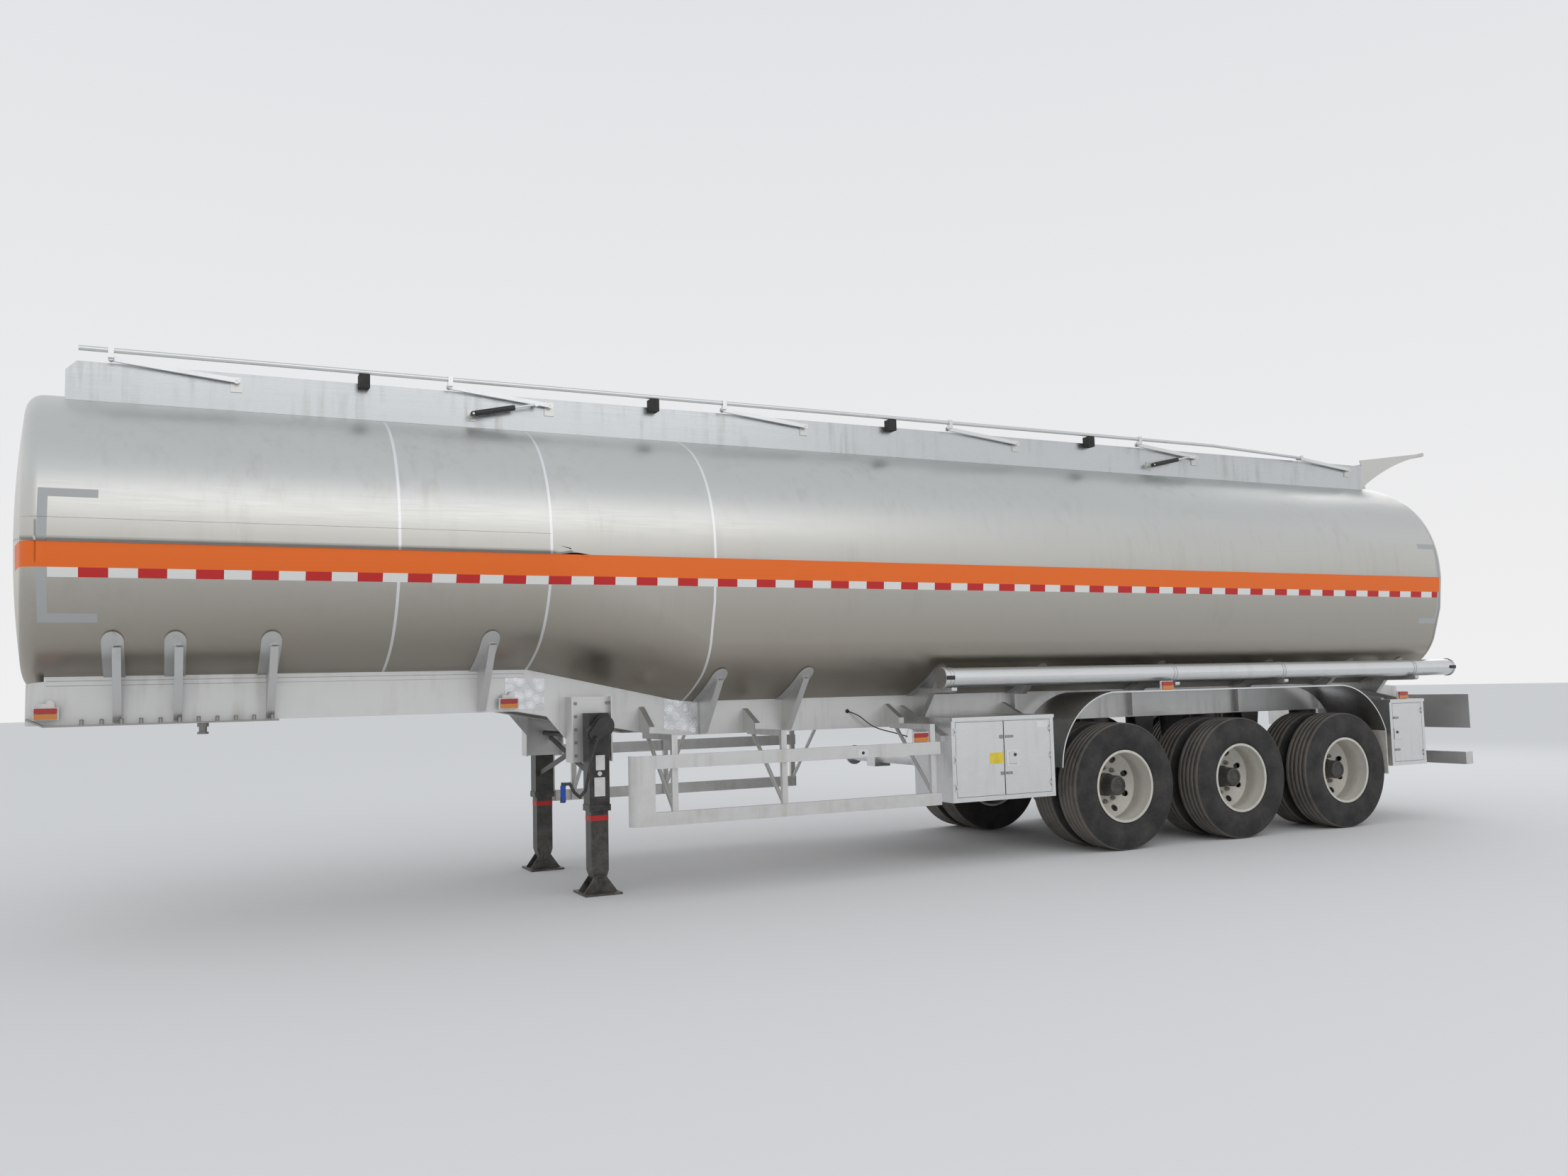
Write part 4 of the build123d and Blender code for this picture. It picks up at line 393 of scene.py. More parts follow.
def wheelPair(side, index):
    # two rims and discs mirrored about the mounting plane, one hub with its drum, and a ring of nuts
    node = "wheels_%s_%d" % (side, index)
    low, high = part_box(node)
    x, z, sign = (low.x + high.x) / 2, (low.z + high.z) / 2, 1 if side == "left" else -1
    body = "twin_wheel_%s_%d" % (side, index)
    rims, discs, hub, nuts = Pile(), Pile(), Pile(), Pile()
    for forward in (1, -1):
        centre = wheel["plane"] + forward * wheel["offset"]
        h, w, s, f, t = wheel["half"], wheel["wall"], wheel["seat"], wheel["flange"], wheel["lip"]
        profile = [(-h, w + 0.004), (-h, f - 0.002), (-h + 0.002, f), (-h + t, f - 0.003), (-h + t + 0.003, s),
                   (-0.052, s - 0.001), (-0.046, w + 0.0065), (0.030, w + 0.0065), (0.036, s - 0.001),
                   (h - t - 0.003, s), (h - t, f - 0.003), (h - 0.002, f), (h, f - 0.002), (h, w + 0.004),
                   (h - 0.004, w + 0.001), (0.045, w + 0.001), (0.036, w - 0.003), (-0.040, w - 0.003),
                   (-0.050, w + 0.001), (-h + 0.004, w + 0.001)]
        rims.lathe([(sign * (centre + forward * a), r) for a, r in profile], (x, 0, z), around=72)
        holedDisc(discs, x, z, lambda height, d=forward: sign * (wheel["plane"] + d * height))
        discs.lathe([(sign * (wheel["plane"] + forward * a), r) for a, r in
                     ((0.0, wheel["bore"]), (0.0, 0.150), (wheel["thick"], 0.150), (wheel["thick"], wheel["bore"]))],
                    (x, 0, z), around=48)
    y = wheel["plane"]
    profile = [(0.600, 0.198), (0.590, 0.204), (0.766, 0.2048), (0.770, 0.201), (0.770, 0.104), (0.900, 0.104),
               (0.905, 0.160), (0.918, 0.161), (0.919, 0.095), (y + 0.060, 0.095), (y + 0.070, 0.0835),
               (wheel["capEnd"] - 0.022, wheel["cap"]), (wheel["capEnd"] - 0.012, wheel["cap"]),
               (wheel["capEnd"] - 0.004, 0.078), (wheel["capEnd"], 0.067), (wheel["capEnd"], 0.058),
               (wheel["capEnd"] - 0.006, 0.055), (wheel["capEnd"] - 0.006, 0.0),
               (0.600, 0.0)]
    hub.lathe([(sign * a, r) for a, r in profile], (x, 0, z), around=48)
    for i in range(6):
        a = 2 * math.pi * (i + 0.5) / 6
        at = (x + 0.0735 * math.cos(a), 0, z + 0.0735 * math.sin(a))
        end = wheel["capEnd"] - 0.003
        hub.lathe([(sign * (end - 0.01), 0), (sign * (end - 0.01), 0.0055), (sign * end, 0.0055), (sign * end, 0)],
                  at, around=6)
    face = y + wheel["thick"]
    for i in range(wheel["nuts"]):
        a = 2 * math.pi * (i + 0.5) / wheel["nuts"]
        at = (x + wheel["nutCircle"] * math.cos(a), 0, z + wheel["nutCircle"] * math.sin(a))
        nuts.lathe([(sign * (face + p), r) for p, r in
                    ((0.0, 0), (0.0, 0.0215), (0.004, 0.0215), (0.005, 0.0185), (0.024, 0.0185), (0.028, 0.0150),
                     (0.028, 0.0115), (0.040, 0.0110), (0.042, 0.0090), (0.042, 0))], at, around=12)
    sharpen(rims.piece("rimPair_%s_%d" % (side, index), body, "rim_steel", replaces=(node,)))
    sharpen(discs.piece("discPair_%s_%d" % (side, index), body, "rim_steel"))
    sharpen(hub.piece("hub_%s_%d" % (side, index), body, "dark_steel"))
    sharpen(nuts.piece("wheelNuts_%s_%d" % (side, index), body, "coupler_steel"))


for side in ("left", "right"):
    for index in (1, 2, 3):
        tyrePair(side, index)
        wheelPair(side, index)
print("wheels made")

# Hose tubes with bevelled caps

hoseTube = {"radius": 0.0775, "proud": 0.0855, "cap": 0.020, "bevel": 0.006, "y": 1.120, "z": 1.452}


def hoseTubes():
    # a tube with a thicker bevelled cap at each end, turned about X, and a catch on each cap
    low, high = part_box("hose_tubes")
    tubes = Pile()
    half, r, big, bevel = hoseTube["cap"], hoseTube["radius"], hoseTube["proud"], hoseTube["bevel"]
    profile = [(low.x, 0), (low.x, big - bevel), (low.x + bevel, big), (low.x + half, big), (low.x + half, r),
               (high.x - half, r), (high.x - half, big), (high.x - bevel, big), (high.x, big - bevel), (high.x, 0)]
    for side in (1, -1):
        tubes.lathe(profile, (0, side * hoseTube["y"], hoseTube["z"]), axis=0, around=48)
    sharpen(tubes.piece("hoseTubes", "trailer", "bright_metal", replaces=("hose_tubes",)))
    catches = Pile()
    for side in (1, -1):
        for x, out in ((low.x, 1), (high.x, -1)):
            y = side * (hoseTube["y"] + r)
            catches.slab((min(x, x + out * 0.075), min(y, y + side * 0.012), hoseTube["z"] - 0.016),
                         (max(x, x + out * 0.075), max(y, y + side * 0.012), hoseTube["z"] + 0.016), 0.003)
    sharpen(catches.piece("hoseTubeCatches", "trailer", "dark_steel"))


hoseTubes()
print("hose tubes made")

# Boxes: latches, locks, blank labels and rivets; each rides on its door

boxFace = {"tool": 1.230, "rear": 1.200}
boxParts = [
    # name, body, slot, face, (x0, x1), (z0, z1), depth, edge
    ("barLatch", "toolbox_door_rear", "coupler_steel", "tool", (-0.418, -0.345), (0.972, 0.992), 0.010, 0.003),
    ("barCatch", "toolbox_door_front", "coupler_steel", "tool", (-0.322, -0.290), (0.968, 0.996), 0.008, 0.003),
    ("lockPlate", "toolbox_door_rear", "lamp_white", "tool", (-0.466, -0.348), (0.750, 0.875), 0.004, 0.001),
    ("lockHandle", "toolbox_door_rear", "bright_metal", "tool", (-0.452, -0.372), (0.765, 0.862), 0.012, 0.005),
    ("lowLatch", "toolbox_door_rear", "coupler_steel", "tool", (-0.400, -0.345), (0.688, 0.708), 0.010, 0.003),
    ("lowCatch", "toolbox_door_front", "coupler_steel", "tool", (-0.322, -0.292), (0.685, 0.711), 0.008, 0.003),
    ("yellowLabel", "toolbox_door_front", "label_yellow", "tool", (-0.318, -0.190), (0.774, 0.861), 0.001, 0.0004),
    ("whiteLabel", "toolbox_door_rear", "lamp_white", "tool", (-0.757, -0.648), (1.044, 1.093), 0.001, 0.0004),
    ("rearLatchHigh", "rear_box_door", "coupler_steel", "rear", (-4.935, -4.872), (0.970, 0.990), 0.010, 0.003),
    ("rearLatchLow", "rear_box_door", "coupler_steel", "rear", (-4.935, -4.872), (0.670, 0.690), 0.010, 0.003),
    ("rearLockPlate", "rear_box_door", "bright_metal", "rear", (-4.983, -4.870), (0.776, 0.883), 0.008, 0.004),
]


def boxFittings():
    # bevelled slabs from the table, two round lock knobs and two columns of rivets a door
    for name, body, slot, face, (x0, x1), (z0, z1), depth, edge in boxParts:
        pile = Pile()
        y = boxFace[face]
        pile.slab((x0, y, z0), (x1, y + depth, z1), edge)
        sharpen(pile.piece(name, body, slot))
    knobs = (("toolLockKnob", "toolbox_door_rear", -0.425, 1.2425, 0.838),
             ("rearLockKnob", "rear_box_door", -4.905, 1.2085, 0.845))
    for name, body, x, y, z in knobs:
        pile = Pile()
        pile.lathe([(y, 0), (y, 0.014), (y + 0.005, 0.012), (y + 0.0065, 0.006), (y + 0.0065, 0)],
                   (x, 0, z), around=20)
        sharpen(pile.piece(name, body, "dark_steel"))
    for name, body, y, x0, x1, z0, z1 in (
            ("frontDoorRivets", "toolbox_door_front", boxFace["tool"], -0.310, 0.106, 0.546, 1.090),
            ("rearDoorRivets", "toolbox_door_rear", boxFace["tool"], -0.764, -0.348, 0.546, 1.090),
            ("rearBoxRivets", "rear_box_door", boxFace["rear"], -5.254, -4.876, 0.584, 1.100)):
        pile = Pile()
        for z in np.linspace(z0, z1, 6):
            for x in (x0, x1):
                pile.lathe([(y, 0), (y, 0.0045), (y + 0.0014, 0.0036),
                            (y + 0.0022, 0.0016), (y + 0.0022, 0)], (x, 0, z),
                           around=10)
        pile.piece(name, body, "bright_metal")


boxFittings()
print("box fittings made")

# What is fixed to the beams: brushed patches, the sole strip under the tank, the cable and its grommet

beamFace = 0.5505
patches = [
    # top front, bottom front, bottom rear, notch depth at height, top rear
    {"front": 3.436, "rear": 3.154, "topFront": 1.533, "topRear": 1.513, "lowFront": 1.307, "lowRear": 1.290,
     "notchX": 3.154, "notchZ": 1.400, "into": 1},
    {"front": 2.252, "rear": 1.984, "topFront": 1.346, "topRear": 1.314, "lowFront": 1.120, "lowRear": 1.084,
     "notchX": 2.252, "notchZ": 1.233, "into": -1},
]


def beamPatches():
    # a sloping four-cornered sheet with a half-round bite out of one upright edge
    pile = Pile()
    for p in patches:
        arc = np.linspace(-math.pi / 2, math.pi / 2, 9)
        bite = [(p["notchX"] + p["into"] * 0.020 * math.cos(a), p["notchZ"] + 0.020 * math.sin(a)) for a in arc]
        if p["into"] > 0:
            outline = [(p["rear"], p["lowRear"])] + bite + [(p["rear"], p["topRear"]), (p["front"], p["topFront"]),
                                                            (p["front"], p["lowFront"])]
        else:
            outline = [(p["front"], p["topFront"])] + bite[::-1] + [(p["front"], p["lowFront"]),
                                                                    (p["rear"], p["lowRear"]),
                                                                    (p["rear"], p["topRear"])]
        pile.plate(outline, beamFace, beamFace + 0.0025)
    pile.piece("beamPatches", "trailer", "patch_metal", smooth=False)


def soleStrips():
    # a flat bar along the beam's top edge under the belly, from the nose to the slope
    pile = Pile()
    for side in (1, -1):
        y0, y1 = sorted((side * beamFace, side * (beamFace + 0.006)))
        pile.slab((3.30, y0, 1.522), (6.22, y1, 1.552), 0.002)
    sharpen(pile.piece("soleStrips", "trailer", "frame_metal"))


def webCable():
    # a round bar along a smooth curve through listed points, and a grommet where it leaves the web
    points = [(0.690, 0.5505, 1.207), (0.650, 0.575, 1.192), (0.600, 0.600, 1.162), (0.540, 0.610, 1.110),
              (0.484, 0.612, 1.076), (0.410, 0.612, 1.050), (0.344, 0.612, 1.034), (0.270, 0.640, 1.012),
              (0.212, 0.680, 0.990)]
    curve = bpy.data.curves.new("cableLine", "CURVE")
    curve.dimensions = "3D"
    spline = curve.splines.new("NURBS")
    spline.points.add(len(points) - 1)
    for p, co in zip(spline.points, points):
        p.co = (*co, 1)
    spline.order_u = 3
    spline.use_endpoint_u = True
    holder = bpy.data.objects.new("cableLine", curve)
    mesh = bpy.data.meshes.new_from_object(holder)
    line = [tuple(v.co) for v in mesh.vertices]
    bpy.data.objects.remove(holder)
    pile = Pile()
    pile.tube(line[::3] + line[-1:], 0.0045, 10)
    pile.piece("webCable", "trailer", "rest_rubber")
    ring = Pile()
    ring.lathe([(0.5505, 0.006), (0.5505, 0.017), (0.556, 0.015), (0.558, 0.006)], (0.690, 0, 1.207), around=20)
    sharpen(ring.piece("cableGrommet", "trailer", "rest_rubber"))


beamPatches()
soleStrips()
webCable()

# Landing legs: blue grip, red bands on the rams, blank stickers

leg = {"x": 2.830, "y": 0.720, "half": 0.073, "ram": 0.063}


def legFittings():
    # the crank grip, a thin band round each ram, blank stickers on the near leg and bolts on the mounting plates
    grip = Pile()
    grip.lathe([(0.662, 0), (0.662, 0.0165), (0.666, 0.0185), (0.770, 0.0185), (0.776, 0.0175), (0.776, 0)],
               (3.130, 0.917, 0), axis=2, around=20)
    sharpen(grip.piece("crankGrip", "trailer", "grip_blue"))
    band, h, t = Pile(), leg["ram"], 0.0012
    for side in (1, -1):
        y = side * leg["y"]
        for low, high in (((leg["x"] - h - t, y - h - t), (leg["x"] + h + t, y - h)),
                          ((leg["x"] - h - t, y + h), (leg["x"] + h + t, y + h + t)),
                          ((leg["x"] - h - t, y - h), (leg["x"] - h, y + h)),
                          ((leg["x"] + h, y - h), (leg["x"] + h + t, y + h))):
            band.slab((*low, 0.508), (*high, 0.544), 0.0004)
    band.piece("ramBands", "trailer", "band_red", smooth=False)
    tags = Pile()
    face = leg["y"] + leg["half"]
    tags.slab((2.790, face, 0.859), (2.856, face + 0.0008, 0.964), 0.0003)
    tags.slab((2.790, face, 0.677), (2.868, face + 0.0008, 0.809), 0.0003)
    tags.lathe([(face, 0), (face, 0.016), (face + 0.0008, 0.016), (face + 0.0008, 0)], (2.828, 0, 0.835), around=24)
    tags.piece("legLabels", "trailer", "lamp_white", smooth=False)
    bolts = Pile()
    for side in (1, -1):
        y = side * (leg["y"] - leg["half"])
        for x in (leg["x"] - 0.105, leg["x"] + 0.125):
            for z in np.linspace(0.960, 1.330, 5):
                bolts.lathe([(y, 0), (y, 0.013), (y + side * 0.009, 0.013), (y + side * 0.009, 0.007),
                             (y + side * 0.014, 0.006), (y + side * 0.014, 0)], (x, 0, z), around=6)
    sharpen(bolts.piece("legBolts", "trailer", "coupler_steel"))


legFittings()
print("leg fittings made")

# Mudguard ribs, flap clamps, lamp rims and screws, the guard socket and stud heads


def mudguardRibs():
    # fine ribs along the straight top of the mudguard's outer band
    low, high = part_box("mudguards")
    pile = Pile()
    for side in (1, -1):
        for k in range(3):
            y0, y1 = sorted((side * (1.196 + 0.013 * k), side * (1.202 + 0.013 * k)))
            pile.slab((low.x + 0.57, y0, 1.3081), (high.x - 0.56, y1, 1.3105), 0.0008)
    pile.piece("mudguardRibs", "trailer", "bright_metal", smooth=False)
    clamps = Pile()
    lowFlap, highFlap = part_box("mud_flaps")
    for side in (1, -1):
        y0, y1 = sorted((side * 0.655, side * 1.230))
        clamps.slab((lowFlap.x - 0.004, y0, highFlap.z - 0.045), (lowFlap.x, y1, highFlap.z - 0.010), 0.0015)
        for y in np.linspace(0.69, 1.20, 6):
            clamps.lathe([(lowFlap.x - 0.004, 0), (lowFlap.x - 0.004, 0.008), (lowFlap.x - 0.010, 0.007),
                          (lowFlap.x - 0.010, 0)], (0, side * y, highFlap.z - 0.027), axis=0, around=6)
    sharpen(clamps.piece("flapClamps", "trailer", "dark_steel"))


def lampRings():
    # a stepped rim round each tail lamp, and a bolt at each side lamp's corners
    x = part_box("red_lenses")[0].x
    pile = Pile()
    for side in (1, -1):
        for y in (0.760, 0.900, 1.040):
            pile.lathe([(x + 0.027, 0.0622), (x + 0.027, 0.068), (x + 0.006, 0.068), (x + 0.003, 0.0665),
                        (x + 0.003, 0.0622)], (0, side * y, 1.008), axis=0, around=40)
    sharpen(pile.piece("tailLampRims", "trailer", "dark_steel"))
    screws = Pile()
    for y in (-0.60, -0.30, 0.30, 0.60, 1.235, -1.235):
        for z in (0.868, 1.160):
            screws.lathe([(-5.913, 0), (-5.913, 0.009), (-5.9185, 0.008), (-5.9185, 0)], (0, y, z), axis=0, around=6)
    screws.piece("panelScrews", "trailer", "coupler_steel")


def guardFittings():
    # the socket plate on the top rail, with a flat black disc as the painted shade of its keyhole
    pile = Pile()
    pile.slab((0.905, 1.245, 0.883), (0.999, 1.2475, 0.941), 0.001)
    sharpen(pile.piece("guardSocket", "trailer", "bright_metal"))
    key = Pile()
    # painted shade: a thin black disc stands for the dark inside of the keyhole
    key.lathe([(1.2475, 0), (1.2475, 0.012), (1.2481, 0.012), (1.2481, 0)], (0.952, 0, 0.912), around=20)
    key.piece("guardKeyhole", "trailer", "rest_rubber")


def beamStuds():
    # round heads along the coupler plate's flange
    pile = Pile()
    for side in (1, -1):
        for i in range(11):
            x = 6.024 - 0.1068 * i
            pile.lathe([(1.311, 0), (1.311, 0.0125), (1.315, 0.0115), (1.318, 0.008), (1.318, 0)],
                       (x, side * 0.636, 0), axis=2, around=12)
    pile.piece("studHeads", "trailer", "coupler_steel")


mudguardRibs()
lampRings()
guardFittings()
beamStuds()
print("small fittings made")

# Materials: one small kit for node trees, then groups that give masks and values only


class Net:
    # adds nodes to a tree and links what is passed in
    def __init__(self, tree):
        self.tree = tree

    def node(self, kind, sockets=None, **settings):
        # a node with its settings made and its sockets set or linked
        made = self.tree.nodes.new(kind)
        for key, value in settings.items():
            setattr(made, key, value)
        for key, value in (sockets or {}).items():
            self.put(made.inputs[key], value)
        return made

    def put(self, socket, value):
        if isinstance(value, bpy.types.NodeSocket):
            self.tree.links.new(value, socket)
        else:
            socket.default_value = value

    def math(self, operation, a, b=0.0, c=0.0, clamp=False):
        return self.node("ShaderNodeMath", {0: a, 1: b, 2: c}, operation=operation, use_clamp=clamp).outputs[0]

    def scaled(self, vector, scale):
        # coordinates multiplied axis by axis, which draws a texture out along the smallest
        return self.node("ShaderNodeMapping", {"Vector": vector, "Scale": scale}).outputs[0]

    def noise(self, vector, scale, detail=3.0, rough=0.55):
        return self.node("ShaderNodeTexNoise", {"Vector": vector, "Scale": scale, "Detail": detail,
                                                "Roughness": rough}).outputs[0]

    def ramp(self, value, low, high, out0=0.0, out1=1.0):
        # straight step from one value to another, held at both ends
        return self.node("ShaderNodeMapRange", {0: value, 1: low, 2: high, 3: out0, 4: out1}).outputs[0]

    def mix(self, share, a, b):
        made = self.node("ShaderNodeMix", {0: share}, data_type="RGBA")
        for socket, value in ((made.inputs[6], a), (made.inputs[7], b)):
            self.put(socket, value if isinstance(value, bpy.types.NodeSocket) else (*value, 1.0))
        return made.outputs[2]

    def between(self, value, low, high):
        # 1 inside a range and 0 outside
        return self.math("MULTIPLY", self.math("GREATER_THAN", value, low), self.math("LESS_THAN", value, high))

    def bump(self, height, strength, distance):
        return self.node("ShaderNodeBump", {"Height": height, "Strength": strength, "Distance": distance}).outputs[0]


def newGroup(name, outputs, fill):
    # a group that takes object coordinates and gives masks or values
    group = bpy.data.node_groups.new(name, "ShaderNodeTree")
    group.interface.new_socket("Vector", in_out="INPUT", socket_type="NodeSocketVector")
    for out in outputs:
        group.interface.new_socket(out, in_out="OUTPUT", socket_type="NodeSocketFloat")
    net = Net(group)
    source = group.nodes.new("NodeGroupInput")
    sink = group.nodes.new("NodeGroupOutput")
    for out, value in fill(net, source.outputs[0]).items():
        group.links.new(value, sink.inputs[out])
    return group


def grainFill(net, vector):
    # brushing: noise drawn out along X, and a broad slow variation
    return {"Fine": net.noise(net.scaled(vector, (3.0, 260.0, 260.0)), 1.0, 4.0, 0.65),
            "Broad": net.noise(net.scaled(vector, (0.9, 2.2, 2.2)), 1.0, 3.0)}


def dustFill(net, vector):
    # dust: more of it low down, broken up by noise
    parts = net.node("ShaderNodeSeparateXYZ", {0: vector})
    height = net.ramp(parts.outputs[2], 0.15, 1.5, 1.0, 0.0)
    speck = net.noise(vector, 9.0, 6.0, 0.7)
    fine = net.noise(vector, 55.0, 3.0, 0.6)
    mask = net.math("MULTIPLY", height, net.ramp(speck, 0.35, 0.75))
    return {"Mask": mask, "Speck": net.ramp(fine, 0.5, 0.8)}


def stainFill(net, vector):
    # runs: noise drawn out downwards, and patches where it is thick
    run = net.noise(net.scaled(vector, (14.0, 14.0, 1.2)), 1.0, 5.0, 0.6)
    patch = net.noise(vector, 2.1, 3.0)
    thick = net.math("MULTIPLY", net.ramp(run, 0.48, 0.72), net.ramp(patch, 0.42, 0.66))
    return {"Run": thick, "Patch": net.ramp(net.noise(vector, 6.5, 6.0, 0.7), 0.50, 0.70)}


groups = {
    "grain": newGroup("grainValues", ("Fine", "Broad"), grainFill),
    "dust": newGroup("dustValues", ("Mask", "Speck"), dustFill),
    "stain": newGroup("stainValues", ("Run", "Patch"), stainFill),
}


class Finish:
    # a material with object coordinates and one Principled shader
    def __init__(self, name, colour, metallic, roughness, **extra):
        self.material = bpy.data.materials.new(name)
        self.material.use_nodes = True
        self.net = Net(self.material.node_tree)
        self.shader = self.material.node_tree.nodes["Principled BSDF"]
        self.set("Base Color", (*colour, 1.0))
        self.set("Metallic", metallic)
        self.set("Roughness", roughness)
        for key, value in extra.items():
            self.set(key.replace("_", " "), value)
        self.place = self.net.node("ShaderNodeTexCoord").outputs["Object"]
        self.colour = colour

    def set(self, key, value):
        # a number or colour goes straight on the shader's socket, a socket is linked to it
        self.net.put(self.shader.inputs[key], value)

    def values(self, name):
        # the masks and values of one shared group, at this material's object coordinates
        made = self.net.node("ShaderNodeGroup", {}, node_tree=groups[name])
        self.net.put(made.inputs[0], self.place)
        return made.outputs


def metalFinish(name, colour, roughness, spread, stain, dust, metallic=1.0, bump=0.04):
    # bare metal: brushing moves its roughness, stains and dust dull and tint it
    made = Finish(name, colour, metallic, roughness)
    net = made.net
    grain, runs, dirt = made.values("grain"), made.values("stain"), made.values("dust")
    base = net.mix(net.math("MULTIPLY", grain["Broad"], 0.25), colour, tuple(c * 0.72 for c in colour))
    base = net.mix(net.math("MULTIPLY", runs["Run"], stain), base, (0.27, 0.23, 0.18))
    mask = net.math("MULTIPLY", dirt["Mask"], dust, clamp=True)
    made.set("Base Color", net.mix(mask, base, (0.36, 0.32, 0.26)))
    made.set("Metallic", net.math("SUBTRACT", metallic, net.math("MULTIPLY", mask, 0.8), clamp=True))
    rough = net.ramp(grain["Fine"], 0.3, 0.7, roughness - spread, roughness + spread)
    rough = net.math("ADD", rough, net.math("MULTIPLY", runs["Run"], 0.25 * stain))
    made.set("Roughness", net.math("ADD", rough, net.math("MULTIPLY", mask, 0.4), clamp=True))
    made.set("Normal", net.bump(grain["Fine"], bump, 0.001))
    return made.material


def paintFinish(name, colour, roughness, dust, dustColour=(0.30, 0.27, 0.22), chips=0.0, metallic=0.0):
    # paint: dust low down and in specks, chips to a darker metal
    made = Finish(name, colour, metallic, roughness)
    net = made.net
    dirt, runs = made.values("dust"), made.values("stain")
    base = net.mix(net.math("MULTIPLY", runs["Patch"], 0.30), colour, tuple(c * 0.7 + 0.01 for c in colour))
    if chips:
        base = net.mix(net.math("MULTIPLY", dirt["Speck"], chips), base, (0.16, 0.10, 0.07))
    mask = net.math("MULTIPLY", net.math("ADD", dirt["Mask"], net.math("MULTIPLY", dirt["Speck"], 0.2)), dust,
                    clamp=True)
    made.set("Base Color", net.mix(mask, base, dustColour))
    made.set("Roughness", net.math("ADD", roughness, net.math("MULTIPLY", mask, 0.35), clamp=True))
    made.set("Normal", net.bump(net.noise(made.place, 180.0, 2.0), 0.05, 0.001))
    return made.material


def tankFinish():
    # satin sheet with weld rings, an orange band, red and white tape and grey corner marks, over a painted reflection
    # that darkens and browns it low down and a painted shade that darkens it towards the rear
    made = Finish("satinTank", (0.68, 0.68, 0.66), 1.0, 0.28)
    net = made.net
    parts = net.node("ShaderNodeSeparateXYZ", {0: made.place}).outputs
    x, y, z = parts[0], parts[1], parts[2]
    grain, runs = made.values("grain"), made.values("stain")
    # painted reflection: the sheet is coloured darker and browner low down, as if reflecting the ground, and light
    # grey higher up
    low = net.mix(net.ramp(z, 1.45, 2.15), (0.36, 0.31, 0.255), (0.53, 0.50, 0.445))
    base = net.mix(net.ramp(z, 2.10, 2.75), low, (0.69, 0.69, 0.665))
    # painted shade: the sheet is coloured greyer and darker towards the rear
    base = net.mix(net.ramp(x, 3.0, -2.0, 0.0, 0.18), base, (0.42, 0.44, 0.43))
    base = net.mix(net.math("MULTIPLY", grain["Broad"], 0.22), base, (0.50, 0.50, 0.48))
    base = net.mix(net.math("MULTIPLY", runs["Run"], 0.22), base, (0.36, 0.33, 0.28))
    side = net.math("GREATER_THAN", net.math("ABSOLUTE", y), 0.9)
    ring = None
    for at in weldRings:
        near = net.math("LESS_THAN", net.math("ABSOLUTE", net.math("SUBTRACT", x, at)), 0.009)
        ring = near if ring is None else net.math("MAXIMUM", ring, near)
    base = net.mix(net.math("MULTIPLY", ring, 0.9), base, (0.90, 0.90, 0.90))
    along = net.between(x, -5.595, 6.420)
    orange = net.math("MULTIPLY", net.between(z, 2.185, 2.330), net.math("MULTIPLY", side, along))
    tape = net.math("MULTIPLY", net.between(z, 2.130, 2.185), net.math("MULTIPLY", side, net.between(x, -5.57, 6.176)))
    blocks = net.math("FRACT", net.math("DIVIDE", net.math("SUBTRACT", 6.176, x), 0.303))
    tapeColour = net.mix(net.math("LESS_THAN", blocks, 0.5), (0.55, 0.012, 0.012), (0.78, 0.78, 0.76))
    marks = None
    for x0, x1, z0, z1 in cornerMarks:
        spot = net.math("MULTIPLY", net.between(x, x0, x1), net.between(z, z0, z1))
        marks = spot if marks is None else net.math("MAXIMUM", marks, spot)
    marks = net.math("MULTIPLY", marks, side)
    base = net.mix(marks, base, (0.42, 0.43, 0.43))
    base = net.mix(orange, base, (0.86, 0.155, 0.008))
    made.set("Base Color", net.mix(tape, base, tapeColour))
    paint = net.math("MAXIMUM", net.math("MAXIMUM", orange, tape), marks)
    made.set("Metallic", net.math("SUBTRACT", 1.0, paint))
    rough = net.ramp(grain["Fine"], 0.3, 0.7, 0.24, 0.40)
    rough = net.math("ADD", rough, net.math("MULTIPLY", grain["Broad"], 0.10))
    rough = net.math("ADD", rough, net.math("MULTIPLY", net.math("MAXIMUM", ring, paint), 0.12), clamp=True)
    made.set("Roughness", rough)
    height = net.math("ADD", net.math("MULTIPLY", ring, 0.8), net.math("MULTIPLY", paint, 0.25))
    height = net.math("ADD", height, net.math("MULTIPLY", net.noise(made.place, 1.3, 1.0), 2.5))
    made.set("Normal", net.bump(net.math("ADD", height, net.math("MULTIPLY", grain["Fine"], 0.05)), 0.25, 0.002))
    return made.material


